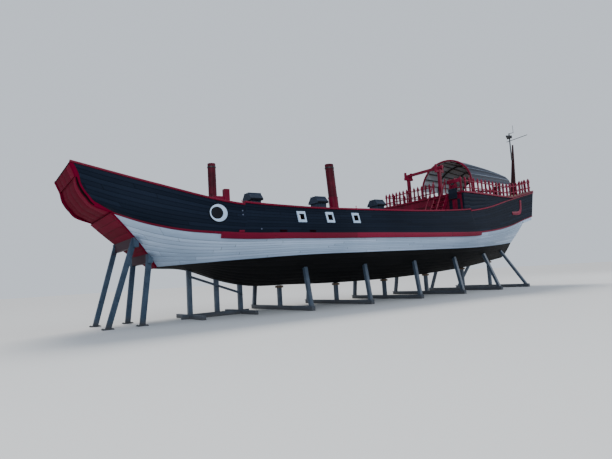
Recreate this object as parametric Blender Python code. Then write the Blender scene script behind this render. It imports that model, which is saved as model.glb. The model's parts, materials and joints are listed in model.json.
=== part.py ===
"""A full-size wooden war junk laid up ashore on its steel cradle, as separate solids.

X runs towards the bow, Y to port and Z up from the ground, in metres. The origin is on the
ground under the middle of the ship.
"""

import math

import bmesh
import bpy
import numpy as np
from mathutils import Matrix

# Hull
LENGTH = 30.0  # bow to quarter wings
BEAM = 7.6  # over the stripe
DEPTH = 5.1  # keel's lowest point to the top of the bow
KEEL_HEIGHT = 1.2  # ground to the keel's lowest point
FAIRING_X = 9.8  # ahead of this the frames fan out to the raked bow
TRANSOM_X = -13.6
WALL = 0.12  # planked sides
BELLY_BOW = 0.27  # swell of the white side at the bow
BELLY = 0.08  # and along the rest
STRIPE_HEIGHT = 0.08
STRIPE_PROUD = 0.03
WALE_FORE_X = 9.77
WALE_AFT_X = -6.7
WALE_HEIGHT = 0.24
WALE_PROUD = 0.12
WING_DROP = 0.2  # depth of the white strip under the quarter wings
CAP = 0.08  # thickness of the cap rail
CAP_LIP = 0.05
STEP_FORE_X = 8.7
STEP_AFT_X = -6.3
STEP = 0.1  # the rail stands this much higher between the two

# Bow
BOW_FULLNESS = 0.4  # how much of the profile's bulge the frames behind it keep
CHEEK_WIDTH = 0.24
CHEEK_DEPTH = 0.2
APRON_RECESS = 0.08
APRON_FOOT_RECESS = 0.005
APRON_FOOT_THICKNESS = 0.02
APRON_THICKNESS = 0.06
PLATE_THICKNESS = 0.08
PANEL_BITE = 0.1  # how far a panel runs into the cheeks before it is cut to them
BREAST_TOP = 0.945  # share of the bow's height above the knuckle
BREAST_GAP = 0.01  # share between it and the apron
BREAST_RECESS = 0.03
BREAST_THICKNESS = 0.06

# Poop
POOP_X = -5.7  # front edge of the poop deck
POOP_Z = 5.9
POOP_DECK = 0.1
DECK_LIP = 0.06
BULKHEAD = 0.1
DOOR_WIDTH = 0.62
DOOR_HEIGHT = 1.5
DOOR_THICKNESS = 0.06
DOOR_SILL = 0.12
DOOR_SIDE_GAP = 0.02
DOOR_END_GAP = 0.01
DOOR_MEETING = 0.004  # half the gap where the two leaves meet
PIVOT_RADIUS = 0.02
STERN_BOARD_DROP = 0.9
STERN_BOARD_INSET = 0.05

# Balustrades
RAILING_HEIGHT = 0.62
RAILING_LOW = 0.22
RAILING_BAR = 0.06
POST = 0.09
FINIAL = 0.3
POST_SPACING = 0.48  # along the sides
FRONT_SPACING = 0.33  # across the ship
RAILING_INSET = 0.1
LADDER_Y = 1.7
LADDER_WIDTH = 0.9
LADDER_RUN = 1.3
LADDER_TREADS = 7

# Masts and deck fittings
FORE_MAST_X = 8.58
FORE_MAST_TOP = 7.16
FORE_MAST_RADIUS = 0.195
MAIN_MAST_X = 1.25
MAIN_MAST_TOP = 7.71
MAIN_MAST_RADIUS = 0.25
MAIN_MAST_RAKE = 4.0
TABERNACLE_TOP = 5.85
TABERNACLE_BOARD = 0.015
TABERNACLE_GAP = 0.002
TABERNACLE_COLLAR = 0.06
MIZZEN_X = -14.1
MIZZEN_Y = 1.3
MIZZEN_TOP = 10.15
MIZZEN_RADIUS = 0.2
MIZZEN_TOP_RADIUS = 0.05
MIZZEN_LEAN = 0.3
POLE_LOW = 9.0
POLE_TOP = 11.0
PLATFORM_Z = 10.8
PLATFORM_REACH = 0.4
YARD_Z = 10.42
YARD_REACH = 1.35
WHIP_TOP = 11.5
POLE_RADIUS = 0.045
WINDLASS_X = 9.02
WINDLASS_Z = 5.12
BARREL_RADIUS = 0.17
BARREL_LENGTH = 2.75
JOURNAL_RADIUS = 0.06
JOURNAL_GAP = 0.01
SPIKE = 0.05
SPIKE_REACH = 0.42
BITT = 0.25
BITT_X = 8.6
BITT_TOP = 5.65
COMPANION_X = (6.45, 2.42, -1.88)
COMPANION_LENGTH = 0.55
COMPANION_WIDTH = 0.7
COMPANION_EAVES = 5.5
COMPANION_RIDGE = 5.84
COMPANION_WALL = 0.06
COMPANION_SIDE_OVERHANG = 0.1
COMPANION_END_OVERHANG = 0.08
COMPANION_DOOR = 0.46
COMPANION_DOOR_HEIGHT = 1.15
GALLOWS_X = -6.2
GALLOWS_Y = 1.3
GALLOWS_POST = 0.18
GALLOWS_BEAM_Z = 7.76
GALLOWS_TOP = 8.05

# Awning
AWNING_STATIONS = ((-8.4, 8.7), (-9.9, 8.57), (-11.35, 8.35), (-12.65, 8.07))  # x, crown
AWNING_HALF = 2.0
AWNING_SPRING = 7.0
AWNING_SHELL = 0.05
HOOP = 0.08
FRONT_HOOP = 0.16
PURLIN = 0.045
ARCH_STEPS = 10

# Rudder, hoisted between the quarter wings
RUDDER_X = -13.92
STOCK_RADIUS = 0.11
STOCK_GAP = 0.015
COLLAR = 0.08  # the ring that rests on a level pad on the poop deck
PAD_EDGE = 0.05  # how far the pad reaches past the ring
BLADE_CHORD = 0.85
BLADE_THICKNESS = 0.09
BLADE_LOW = 4.5
BLADE_HIGH = 5.95
STOCK_TOP = 7.3
TILLER_LENGTH = 2.3
TILLER = 0.1

# Marks on the sides
EYE_X = 9.85
EYE_Z = 4.28
EYE_RADIUS = 0.36
PUPIL_RADIUS = 0.22
PUPIL_SHIFT = 0.06
EYE_PROUD = 0.04
GUNPORT_X = (6.05, 4.5, 2.95)
GUNPORT_Z = 4.17
GUNPORT_BOARD = 0.5
GUNPORT_BOARD_WIDTH = 0.43
GUNPORT_HOLE = 0.22
GUNPORT_PROUD = 0.04

# Cradle
STEEL = 0.2  # width of the cradle's beams
# Place of each frame and how far from the middle its shores meet the hull
CRADLE_FRAMES = ((5.2, 2.3), (1.6, 2.4), (-2.0, 2.4), (-5.6, 2.2), (-9.2, 1.6), (-12.2, 0.8))
CRADLE_HALF = 2.9
KEEL_POSTS_X = (9.9, 8.6, 7.4)
KEEL_SILL_HALF = 1.6
KEEL_BITE = 0.12  # how far a keel post runs into the hull before it is cut to it
SHORE_BITE = 0.4  # the same for a leaning shore
BOW_PROPS = ((13.63, 1.18, 12.58, 1.5), (12.32, 1.12, 11.95, 1.19))  # foot x and y, head x and y

GAP = 0.0003  # between pieces that touch
SLIVER = 0.00005  # corners closer than this become one after a cut
CLEAR = 0.015  # between a deck's edge and the planking

# Lines of the hull from bow to stern: shares of half the length, half the beam and the depth
RAIL = (
    (1.0, 0.539, 1.0),
    (0.807, 0.763, 0.831),
    (0.627, 0.882, 0.706),
    (0.407, 0.921, 0.661),
    (0.133, 0.921, 0.661),
    (-0.2, 0.908, 0.678),
    (-0.427, 0.858, 0.722),
    (-0.547, 0.808, 0.771),
    (-0.733, 0.711, 0.888),
    (-1.0, 0.587, 1.049),
)
STRIPE = (
    (0.904, 0.5, 0.637),
    (0.853, 0.645, 0.567),
    (0.78, 0.782, 0.502),
    (0.653, 0.913, 0.455),
    (0.42, 1.0, 0.441),
    (0.093, 1.0, 0.443),
    (-0.2, 0.982, 0.447),
    (-0.447, 0.926, 0.465),
    (-0.7, 0.763, 0.549),
    (-0.907, 0.597, 0.671),
    (-1.0, 0.526, 0.725),
)
CHINE = (
    (0.764, 0.132, 0.224),
    (0.677, 0.526, 0.231),
    (0.527, 0.789, 0.246),
    (0.407, 0.895, 0.257),
    (0.177, 0.939, 0.265),
    (-0.207, 0.895, 0.275),
    (-0.467, 0.776, 0.29),
    (-0.7, 0.553, 0.324),
    (-0.907, 0.263, 0.363),
)
KEEL = (
    (0.764, 0.039, 0.216),
    (0.66, 0.039, 0.186),
    (0.573, 0.039, 0.09),
    (0.487, 0.039, 0.027),
    (0.3, 0.039, 0.0),
    (-0.333, 0.039, 0.01),
    (-0.667, 0.039, 0.078),
    (-0.907, 0.039, 0.167),
)
DECK = (
    (0.967, 0.0, 0.784),
    (0.733, 0.0, 0.627),
    (0.58, 0.0, 0.545),
    (0.0, 0.0, 0.529),
    (-0.533, 0.0, 0.539),
    (-0.907, 0.0, 0.702),
)
# Profile of the bow above the knuckle: x and z as shares of half the length and the depth
BOW = ((0.904, 0.637), (0.937, 0.671), (0.965, 0.747), (0.981, 0.824), (0.988, 0.908), (1.0, 1.0))

# Paints: red, green and blue, roughness, metallic
PAINTS = {
    "black": ((0.018, 0.024, 0.036), 0.5, 0.0),
    "white": ((0.62, 0.66, 0.72), 0.55, 0.0),
    "red": ((0.42, 0.016, 0.03), 0.45, 0.0),
    "bottom": ((0.022, 0.018, 0.017), 0.8, 0.0),
    "deck": ((0.16, 0.1, 0.06), 0.75, 0.0),
    "mast": ((0.16, 0.02, 0.022), 0.6, 0.0),
    "roof": ((0.1, 0.13, 0.18), 0.5, 0.0),
    "steel": ((0.13, 0.17, 0.21), 0.5, 0.3),
    "dark": ((0.012, 0.013, 0.016), 0.6, 0.0),
}

HALF_LENGTH = LENGTH / 2
HALF_BEAM = BEAM / 2
UPPER_ROWS = [(z - BOW[0][1]) / (BOW[-1][1] - BOW[0][1]) for _, z in BOW]
BREAST_SHARES = (BREAST_TOP, UPPER_ROWS[4] + BREAST_GAP)
RAKES = (1.0, 1 - CHEEK_DEPTH / (HALF_LENGTH - FAIRING_X), 0.86, 0.7, 0.5, 0.25)
AFT_X = (
    [FAIRING_X, WALE_FORE_X, STEP_FORE_X + 0.02, STEP_FORE_X - 0.02]
    + [7.2, 5.6, 4.0, 2.0, 0.0, -2.0, -4.0]
    + [POOP_X, STEP_AFT_X + 0.02, STEP_AFT_X - 0.02, WALE_AFT_X, WALE_AFT_X - 0.03]
    + [-7.8, -9.0, -10.2, -11.4, -12.5, TRANSOM_X]
)
WING_X = [-14.3, -HALF_LENGTH]
# A station is its rake share, 1 at the bow's edge, and its x
HULL_STATIONS = [(rake, FAIRING_X) for rake in RAKES] + [(0.0, x) for x in AFT_X]
ALL_STATIONS = HULL_STATIONS + [(0.0, x) for x in WING_X]


# Scene helpers


def clear_scene():
    for thing in list(bpy.data.objects):
        bpy.data.objects.remove(thing, do_unlink=True)


def paint(thing, finish):
    colour, roughness, metallic = PAINTS[finish]
    material = bpy.data.materials.new(thing.name)
    material.use_nodes = True
    shader = material.node_tree.nodes["Principled BSDF"]
    shader.inputs["Base Color"].default_value = (*colour, 1.0)
    shader.inputs["Roughness"].default_value = roughness
    shader.inputs["Metallic"].default_value = metallic
    thing.data.materials.append(material)


def make(name, shape, finish, smooth=False):
    """Turn a bmesh into a named object with its own material, its faces pointing out."""
    bmesh.ops.recalc_face_normals(shape, faces=shape.faces)
    mesh = bpy.data.meshes.new(name)
    shape.to_mesh(mesh)
    shape.free()
    thing = bpy.data.objects.new(name, mesh)
    bpy.context.scene.collection.objects.link(thing)
    paint(thing, finish)
    if smooth:
        mesh.shade_smooth()
        mesh.set_sharp_from_angle(angle=math.radians(35))
    return thing


def tool(name, shape):
    """A hidden body that joins or cuts another."""
    thing = make(name, shape, "dark")
    thing.hide_render = True
    thing.display_type = "WIRE"
    return thing


def set_pivot(thing, pivot):
    """Put a moving piece's origin on its joint's axis, and leave its form where it is."""
    thing.data.transform(Matrix.Translation([-v for v in pivot]))
    thing.location = pivot


def combine(thing, other, operation):
    """Join or cut with a hidden body, by the exact solver."""
    modifier = thing.modifiers.new(other.name, "BOOLEAN")
    modifier.operation = operation
    modifier.object = other
    modifier.solver = "EXACT"


def seat_of(body, name, shift):
    """Copy of a body, shifted a hair, that cuts what lies against it."""
    seat = bpy.data.objects.new(name, body.data.copy())
    bpy.context.scene.collection.objects.link(seat)
    seat.location = shift
    seat.hide_render = True
    seat.display_type = "WIRE"
    return seat


# Shapes


def add_loft(shape, rings):
    """Close a body through rings of matching points. Each quad is split from low fore to high aft."""
    rows = [[shape.verts.new(point) for point in ring] for ring in rings]
    count = len(rows[0])
    for fore, aft in zip(rows, rows[1:]):
        for k in range(count):
            n = (k + 1) % count
            a, b, c, d = fore[k], fore[n], aft[n], aft[k]
            if a.co.z <= b.co.z:
                shape.faces.new((a, b, c))
                shape.faces.new((a, c, d))
            else:
                shape.faces.new((b, c, d))
                shape.faces.new((b, d, a))
    for ring in (rows[0], rows[-1]):
        for k in range(count // 2 - 1):
            shape.faces.new((ring[k], ring[k + 1], ring[count - 2 - k], ring[count - 1 - k]))
    return shape


def loft(rings):
    return add_loft(bmesh.new(), rings)


def add_box(shape, x0, x1, y0, y1, z0, z1):
    rings = [[(x, y0, z0), (x, y1, z0), (x, y1, z1), (x, y0, z1)] for x in (x1, x0)]
    return add_loft(shape, rings)


def box(*sides):
    return add_box(bmesh.new(), *sides)


def disc(centre, radius, sides, axis="z", turn=0.5):
    """Ring of points round an axis through the centre."""
    ring = []
    for k in range(sides):
        angle = 2 * math.pi * (k + turn) / sides
        u, v = radius * math.cos(angle), radius * math.sin(angle)
        x, y, z = centre
        if axis == "z":
            ring.append((x + u, y + v, z))
        elif axis == "y":
            ring.append((x + u, y, z + v))
        else:
            ring.append((x, y + u, z + v))
    return ring


def add_spindle(shape, rings):
    """Close a round body through rings, with one face at each end."""
    rows = [[shape.verts.new(point) for point in ring] for ring in rings]
    count = len(rows[0])
    for low, high in zip(rows, rows[1:]):
        for k in range(count):
            n = (k + 1) % count
            shape.faces.new((low[k], low[n], high[n], high[k]))
    shape.faces.new(rows[0])
    shape.faces.new(rows[-1])
    return shape


def add_beam(shape, start, end, width, height):
    """Straight timber of a given width across and height, cut square to X, Y or Z at its ends."""
    run = [abs(e - s) for s, e in zip(start, end)]
    main = run.index(max(run))
    across, up = {0: (1, 2), 1: (0, 2), 2: (1, 0)}[main]
    rings = []
    for point in (start, end):
        ring = []
        for a, b in ((-1, -1), (1, -1), (1, 1), (-1, 1)):
            corner = list(point)
            corner[across] += a * width / 2
            corner[up] += b * height / 2
            ring.append(corner)
        rings.append(ring)
    return add_loft(shape, rings)


# Lines of the hull


def fair(line, column, share):
    """Value at a share of half the length, on a smooth curve through a line's rows."""
    xs = np.array([row[0] for row in line[::-1]])
    values = np.array([row[column] for row in line[::-1]])
    slopes = np.gradient(values, xs)
    k = int(np.clip(np.searchsorted(xs, share) - 1, 0, len(xs) - 2))
    step = xs[k + 1] - xs[k]
    t = float(np.clip((share - xs[k]) / step, 0, 1))
    return float(
        values[k] * (1 + 2 * t) * (1 - t) ** 2
        + values[k + 1] * t * t * (3 - 2 * t)
        + step * slopes[k] * t * (1 - t) ** 2
        - step * slopes[k + 1] * t * t * (1 - t)
    )


def on_line(line, station):
    """Point of a line at a station."""
    rake, x = station
    x += rake * (line[0][0] * HALF_LENGTH - FAIRING_X)
    share = x / HALF_LENGTH
    return np.array([x, fair(line, 1, share) * HALF_BEAM, KEEL_HEIGHT + fair(line, 2, share) * DEPTH])


def rail_point(station):
    """Outer edge of the planking under the cap rail."""
    point = on_line(RAIL, station)
    if STEP_AFT_X < point[0] < STEP_FORE_X:
        point[2] += STEP
    point[2] -= CAP
    return point


def wale_height(x):
    return WALE_HEIGHT if WALE_AFT_X <= x <= WALE_FORE_X else STRIPE_HEIGHT


def wale_proud(x):
    return WALE_PROUD if WALE_AFT_X <= x <= WALE_FORE_X else STRIPE_PROUD


def side_point(station, share):
    """Point of the white side, from the chine at 0 to the stripe at 1."""
    low, high = on_line(CHINE, station), on_line(STRIPE, station)
    point = low + share * (high - low)
    belly = BELLY + station[0] * (BELLY_BOW - BELLY)
    point[1] += belly * 4 * share * (1 - share)
    return point


def under_wale(station):
    low, high = on_line(CHINE, station), on_line(STRIPE, station)
    return side_point(station, 1 - wale_height(high[0]) / (high[2] - low[2]))


def bow_bulge(share):
    """How far the bow's profile stands ahead of a straight line at a share of its height."""
    straight = BOW[0][0] + share * (BOW[-1][0] - BOW[0][0])
    return (float(np.interp(share, UPPER_ROWS, [x for x, _ in BOW])) - straight) * HALF_LENGTH


def inset_profile(inset):
    """Corners of the bow's profile as x and z, moved inwards square to it."""
    corners = np.array([upper_point(HULL_STATIONS[0], row)[::2] for row in UPPER_ROWS])
    runs = np.diff(corners, axis=0)
    normals = np.stack([-runs[:, 1], runs[:, 0]], axis=1) / np.linalg.norm(runs, axis=1)[:, None]
    mitres = np.vstack([normals[:1], normals[:-1] + normals[1:], normals[-1:]])
    return corners + inset * mitres / np.linalg.norm(mitres, axis=1)[:, None]


def upper_point(station, share):
    """Point of the black topside, from the stripe at 0 to the rail at 1."""
    low, high = on_line(STRIPE, station), rail_point(station)
    point = low + share * (high - low)
    if station == HULL_STATIONS[1]:
        corners = np.vstack([low[::2], inset_profile(CHEEK_DEPTH)[1:-1], high[::2]])
        point[::2] = [np.interp(share, UPPER_ROWS, column) for column in corners.T]
        return point
    rake = station[0]
    point[0] += bow_bulge(share) * (1.0 if rake == 1 else BOW_FULLNESS * rake)
    return point


def deck_point(station):
    """Point of the planking at the main deck's height."""
    low, high = on_line(STRIPE, station), rail_point(station)
    z = KEEL_HEIGHT + fair(DECK, 2, (low[0] + high[0]) / 2 / HALF_LENGTH) * DEPTH
    rows = np.array([upper_point(station, share) for share in UPPER_ROWS])
    return np.array([np.interp(z, rows[:, 2], rows[:, 0]), np.interp(z, rows[:, 2], rows[:, 1]), z])


def wall_y(x, z):
    """Half breadth of the topside's outer face at a place behind the raked bow."""
    station = (0.0, x)
    low, high = on_line(STRIPE, station), rail_point(station)
    return float(np.interp(z, (low[2], high[2]), (low[1], high[1])))


def poop_under(x):
    """Underside of the poop deck: level, then rising with the rail."""
    return max(POOP_Z, rail_point((0.0, x))[2] + CAP + 0.02)


POOP_STATIONS = [(0.0, x) for x in [POOP_X] + [x for x in AFT_X if x < POOP_X] + WING_X]


def poop_top(x):
    xs = [station[1] for station in POOP_STATIONS][::-1]
    zs = [poop_under(x) + POOP_DECK for x in xs]
    return float(np.interp(x, xs, zs))


def poop_ceiling(x):
    """Height just under the poop deck."""
    return poop_top(x) - POOP_DECK - GAP


def deck_top(x):
    points = [deck_point(station) for station in HULL_STATIONS[::-1]]
    return float(np.interp(x, [p[0] for p in points], [p[2] for p in points]))


def deck_seat(x, reach):
    """Height at which a flat foot of a given reach rests on the main deck."""
    places = [x - reach, x + reach] + [a for a in AFT_X if x - reach < a < x + reach]
    return max(deck_top(place) for place in places) + GAP


def facet_reach(radius, sides):
    """How far a round foot of a given number of sides reaches along X."""
    return radius * math.cos(math.pi / sides)


def poop_seat(x, reach):
    places = [x - reach, x + reach] + [a for a in AFT_X + WING_X if x - reach < a < x + reach]
    return max(poop_top(max(place, -HALF_LENGTH)) for place in places) + GAP


def flip(point, side):
    return (point[0], side * point[1], point[2])


def moved(point, dx=0.0, dy=0.0, dz=0.0):
    return (point[0] + dx, point[1] + dy, point[2] + dz)


def upright_ring(x, outer, inner, low, high):
    """Four corners of an upright section across the ship."""
    return [(x, outer, low), (x, outer, high), (x, inner, high), (x, inner, low)]


# Hull


def hull_bottom():
    rings = []
    for station in HULL_STATIONS:
        keel, chine = on_line(KEEL, station), on_line(CHINE, station)
        bilge = (keel + chine) / 2
        bilge[2] = keel[2] + 0.4 * (chine[2] - keel[2])
        half = [chine, bilge, keel]
        rings.append([flip(p, -1) for p in half] + [flip(p, 1) for p in half[::-1]])
    return make("hull_bottom", loft(rings), "bottom")


def hull_side():
    rings = []
    for station in HULL_STATIONS:
        half = [under_wale(station), side_point(station, 0.45), moved(side_point(station, 0), dz=GAP)]
        rings.append([flip(p, -1) for p in half] + [flip(p, 1) for p in half[::-1]])
    side = make("hull_side", loft(rings), "white")
    wings = bmesh.new()
    for hand in (-1, 1):
        rings = []
        places = ((TRANSOM_X + 0.4, 0.03), (TRANSOM_X, 0.0), (WING_X[0], 0.0), (WING_X[1] + 0.1, 0.0))
        for x, inset in places:
            top = under_wale((0.0, x))
            drop = WING_DROP if x < TRANSOM_X + 0.3 else WING_DROP / 2
            outer = hand * (top[1] - inset)
            inner = hand * (top[1] - WALL - inset)
            rings.append(
                [
                    (x, outer, top[2] - inset - drop),
                    (x, outer, top[2] - inset),
                    (x, inner, top[2] - inset),
                    (x, inner, top[2] - inset - drop),
                ]
            )
        add_loft(wings, rings)
    combine(side, tool("quarter_wings", wings), "UNION")
    return side


def wale(name, hand):
    """The heavy wale amidships, running out in the thin stripe at both ends."""
    rings = []
    for station in ALL_STATIONS:
        low, high = under_wale(station), on_line(STRIPE, station)
        proud = wale_proud(high[0])
        low = moved(low, dz=GAP)
        ring = [moved(low, dy=proud), moved(high, dy=proud), moved(high, dy=-WALL), moved(low, dy=-WALL)]
        rings.append([flip(p, hand) for p in ring])
    return make(name, loft(rings), "red")


def topside(name, hand):
    """Black planked side, with the gunport boards raised on it and their openings cut."""
    rings = []
    for number, station in enumerate(ALL_STATIONS[1:]):
        back = GAP if number == 0 else 0.0
        outer = [moved(upper_point(station, share), dx=-back) for share in UPPER_ROWS]
        outer[0] = moved(outer[0], dz=GAP)
        inner = [moved(p, dy=-WALL) for p in outer]
        rings.append([flip(p, hand) for p in outer] + [flip(p, hand) for p in inner[::-1]])
    wall = make(name, loft(rings), "black")
    boards, holes = bmesh.new(), bmesh.new()
    for x in GUNPORT_X:
        half, wide, hole = GUNPORT_BOARD / 2, GUNPORT_BOARD_WIDTH / 2, GUNPORT_HOLE / 2
        low = wall_y(x, GUNPORT_Z - half) + GUNPORT_PROUD
        high = wall_y(x, GUNPORT_Z + half) + GUNPORT_PROUD
        rings = []
        for edge in (x + wide, x - wide):
            rings.append(
                [
                    (edge, hand * low, GUNPORT_Z - half),
                    (edge, hand * high, GUNPORT_Z + half),
                    (edge, hand * (high - 0.1), GUNPORT_Z + half),
                    (edge, hand * (low - 0.1), GUNPORT_Z - half),
                ]
            )
        add_loft(boards, rings)
        reach = sorted((hand * (high - 0.5), hand * (low + 0.5)))
        add_box(holes, x - hole, x + hole, *reach, GUNPORT_Z - hole, GUNPORT_Z + hole)
    combine(wall, tool(name + "_boards", boards), "UNION")
    combine(wall, tool(name + "_ports", holes), "DIFFERENCE")
    return wall


def main_deck():
    rings = []
    for number, station in enumerate(HULL_STATIONS[1:]):
        low, stripe, edge = under_wale(station), on_line(STRIPE, station), deck_point(station)
        if number == 0:
            low, stripe, edge = (moved(p, dx=-CLEAR) for p in (low, stripe, edge))
        inset = -WALL - CLEAR
        half = [moved(edge, dy=inset), moved(stripe, dy=inset), moved(low, dy=inset, dz=2 * GAP)]
        rings.append([flip(p, -1) for p in half] + [flip(p, 1) for p in half[::-1]])
    return make("main_deck", loft(rings), "deck")


def bow_slab(inner, outer, widen):
    """Slab along the straight stem, from the foot up to the knuckle, between two offsets from it."""
    station = HULL_STATIONS[0]
    rows = [side_point(station, share) for share in (0.0, 0.25, 0.5, 0.75, 1.0)]
    slope = np.array([rows[-1][0] - rows[0][0], 0.0, rows[-1][2] - rows[0][2]])
    slope /= np.linalg.norm(slope)
    out = np.array([slope[2], 0.0, -slope[0]])
    rings = []
    for row in rows[::-1]:
        back, front = moved(row + out * inner, dy=widen), moved(row + out * outer, dy=widen)
        rings.append([flip(back, -1), flip(front, -1), flip(front, 1), flip(back, 1)])
    return loft(rings)


def bow_plate():
    """Flat red plate from the foot of the stem up to the knuckle."""
    return make("bow_plate", bow_slab(GAP, GAP + PLATE_THICKNESS, 0.0), "red")


def cheek(name, hand):
    """Thick end of the topside, bent along the bow's profile."""
    rings = []
    for station in HULL_STATIONS[:2]:
        outer = [upper_point(station, share) for share in UPPER_ROWS]
        outer[0] = moved(outer[0], dz=GAP)
        inner = [moved(p, dy=-CHEEK_WIDTH) for p in outer]
        rings.append([flip(p, hand) for p in outer] + [flip(p, hand) for p in inner[::-1]])
    return make(name, loft(rings), "red")


def bow_panel(name, cheeks, rows):
    """Panel across the bow through rows of share, recess and thickness, cut to fit between the cheeks."""
    rings = []
    for share, recess, thickness in rows:
        y = upper_point(HULL_STATIONS[0], share)[1] - CHEEK_WIDTH + PANEL_BITE
        ring = []
        for inset in (recess + thickness, recess):
            x, z = (float(np.interp(share, UPPER_ROWS, column)) for column in inset_profile(inset).T)
            ring.append((x, y, z))
        aft, fore = ring
        rings.append([flip(aft, -1), flip(fore, -1), fore, aft])
    panel = make(name, loft(rings), "red")
    for hand, side in cheeks.items():
        combine(panel, seat_of(side, f"{name}_{side.name}", (0.0, -hand * GAP, 0.0)), "DIFFERENCE")
    weld = panel.modifiers.new("weld", "WELD")
    weld.merge_threshold = SLIVER


def bow_panels(cheeks):
    foot = (0.0, APRON_FOOT_RECESS, APRON_FOOT_THICKNESS)
    rows = [(share, APRON_RECESS, APRON_THICKNESS) for share in UPPER_ROWS[4:0:-1]]
    bow_panel("bow_apron", cheeks, rows + [foot])
    bow_panel("breast_board", cheeks, [(share, BREAST_RECESS, BREAST_THICKNESS) for share in BREAST_SHARES])


def cap_rail(name, hand):
    rings = []
    for station in ALL_STATIONS:
        edge = rail_point(station)
        outer, inner = edge[1] + CAP_LIP, edge[1] - WALL - CAP_LIP
        low, high = edge[2] + GAP, edge[2] + CAP
        rings.append(upright_ring(edge[0], hand * outer, hand * inner, low, high))
    return make(name, loft(rings), "red")


# Poop


def poop_side(name, hand):
    """Wedge of planking between the rising rail and the level poop deck."""
    rings = []
    for station in POOP_STATIONS:
        edge = rail_point(station)
        low, high = edge[2] + CAP + GAP, poop_under(edge[0]) - GAP
        outer, inner = edge[1], edge[1] - WALL
        rings.append(upright_ring(edge[0], hand * outer, hand * inner, low, high))
    return make(name, loft(rings), "black")


def rudder_seat():
    """Height of the rudder's collar, on a level pad let into the rising deck."""
    return poop_seat(RUDDER_X, STOCK_RADIUS + COLLAR + PAD_EDGE) + GAP


def poop_deck():
    rings = []
    for station in POOP_STATIONS:
        edge = rail_point(station)
        y = edge[1] + DECK_LIP
        low, high = poop_under(edge[0]), poop_under(edge[0]) + POOP_DECK
        rings.append([(edge[0], -y, high), (edge[0], -y, low), (edge[0], y, low), (edge[0], y, high)])
    deck = make("poop_deck", loft(rings), "red")
    pad, hole = bmesh.new(), bmesh.new()
    ends = (rudder_seat() - POOP_DECK, rudder_seat() - GAP)
    add_spindle(pad, [disc((RUDDER_X, 0, z), STOCK_RADIUS + COLLAR + PAD_EDGE, 16) for z in ends])
    combine(deck, tool("rudder_pad", pad), "UNION")
    for_stock = [disc((RUDDER_X, 0, z), STOCK_RADIUS + STOCK_GAP, 16) for z in (POOP_Z - 0.5, POOP_Z + 1.5)]
    add_spindle(hole, for_stock)
    combine(deck, tool("rudder_trunk", hole), "DIFFERENCE")
    return deck


def cross_wall(name, x, z0, z1, finish):
    """Wall across the ship between the planked sides, clear of the cap rails."""
    rings = []
    rail = rail_point((0.0, x))
    waist = rail[1] - WALL - CAP_LIP - CLEAR
    for face in (x + BULKHEAD / 2, x - BULKHEAD / 2):
        low = wall_y(x, z0) - WALL - CLEAR
        half = [(face, low, z0), (face, waist, rail[2] - CAP), (face, waist, z1)]
        rings.append([flip(p, -1) for p in half[::-1]] + half)
    return make(name, loft(rings), finish)


BULKHEAD_X = POOP_X - 0.15


def poop_bulkhead():
    low = deck_seat(BULKHEAD_X, BULKHEAD / 2)
    wall = cross_wall("poop_bulkhead", BULKHEAD_X, low, POOP_Z - GAP, "red")
    half = DOOR_WIDTH + DOOR_SIDE_GAP + DOOR_MEETING
    sill = low + DOOR_SILL
    opening = box(BULKHEAD_X - 1, BULKHEAD_X + 1, -half, half, sill, sill + DOOR_HEIGHT + 2 * DOOR_END_GAP)
    combine(wall, tool("poop_doorway", opening), "DIFFERENCE")
    return wall


def swing_door(name, x, pivot_y, towards, sill, width, height, finish):
    """Door leaf on a pivot at its edge, with a pin down to the sill and one up to the head."""
    y_far = pivot_y + towards * (width - DOOR_THICKNESS / 2)
    y_near = pivot_y - towards * DOOR_THICKNESS / 2
    y0, y1 = sorted((y_far, y_near))
    half = DOOR_THICKNESS / 2
    low, high = sill + DOOR_END_GAP, sill + DOOR_END_GAP + height
    leaf = make(name, box(x - half, x + half, y0, y1, low, high), finish)
    pin = bmesh.new()
    ends = (sill + GAP, sill + height + 2 * DOOR_END_GAP - GAP)
    add_spindle(pin, [disc((x, pivot_y, z), PIVOT_RADIUS, 8) for z in ends])
    combine(leaf, tool(name + "_pin", pin), "UNION")
    set_pivot(leaf, (x, pivot_y, sill))
    return leaf


def cabin_doors():
    sill = deck_seat(BULKHEAD_X, BULKHEAD / 2) + DOOR_SILL
    for name, hand in (("cabin_door_port", 1), ("cabin_door_starboard", -1)):
        pivot = hand * (DOOR_WIDTH + DOOR_MEETING - DOOR_THICKNESS / 2)
        swing_door(name, BULKHEAD_X, pivot, -hand, sill, DOOR_WIDTH, DOOR_HEIGHT, "mast")


def stern_walls():
    x = TRANSOM_X + BULKHEAD / 2
    cross_wall("stern_bulkhead", x, deck_seat(x, BULKHEAD / 2), poop_ceiling(x + BULKHEAD / 2), "black")
    x = -HALF_LENGTH + STERN_BOARD_INSET + BULKHEAD / 2
    low = rail_point((0.0, x))[2] - STERN_BOARD_DROP
    cross_wall("stern_board", x, low, poop_ceiling(x + BULKHEAD / 2), "black")


# Balustrades


def add_post(shape, x, y, low, high):
    """Square post with a pointed finial."""
    half, wide = POST / 2, POST * 0.68
    neck = high - FINIAL
    rings = []
    for reach, z in ((half, low), (half, neck), (wide, neck + 0.05), (0.012, high)):
        corners = ((1, -1), (1, 1), (-1, 1), (-1, -1))
        rings.append([(x + a * reach, y + b * reach, z) for a, b in corners])
    return add_spindle(shape, rings)


def places_between(start, end, spacing):
    """Even places from start to end, about a spacing apart."""
    count = max(1, round(abs(end - start) / spacing))
    return [start + (end - start) * k / count for k in range(count + 1)]


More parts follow.
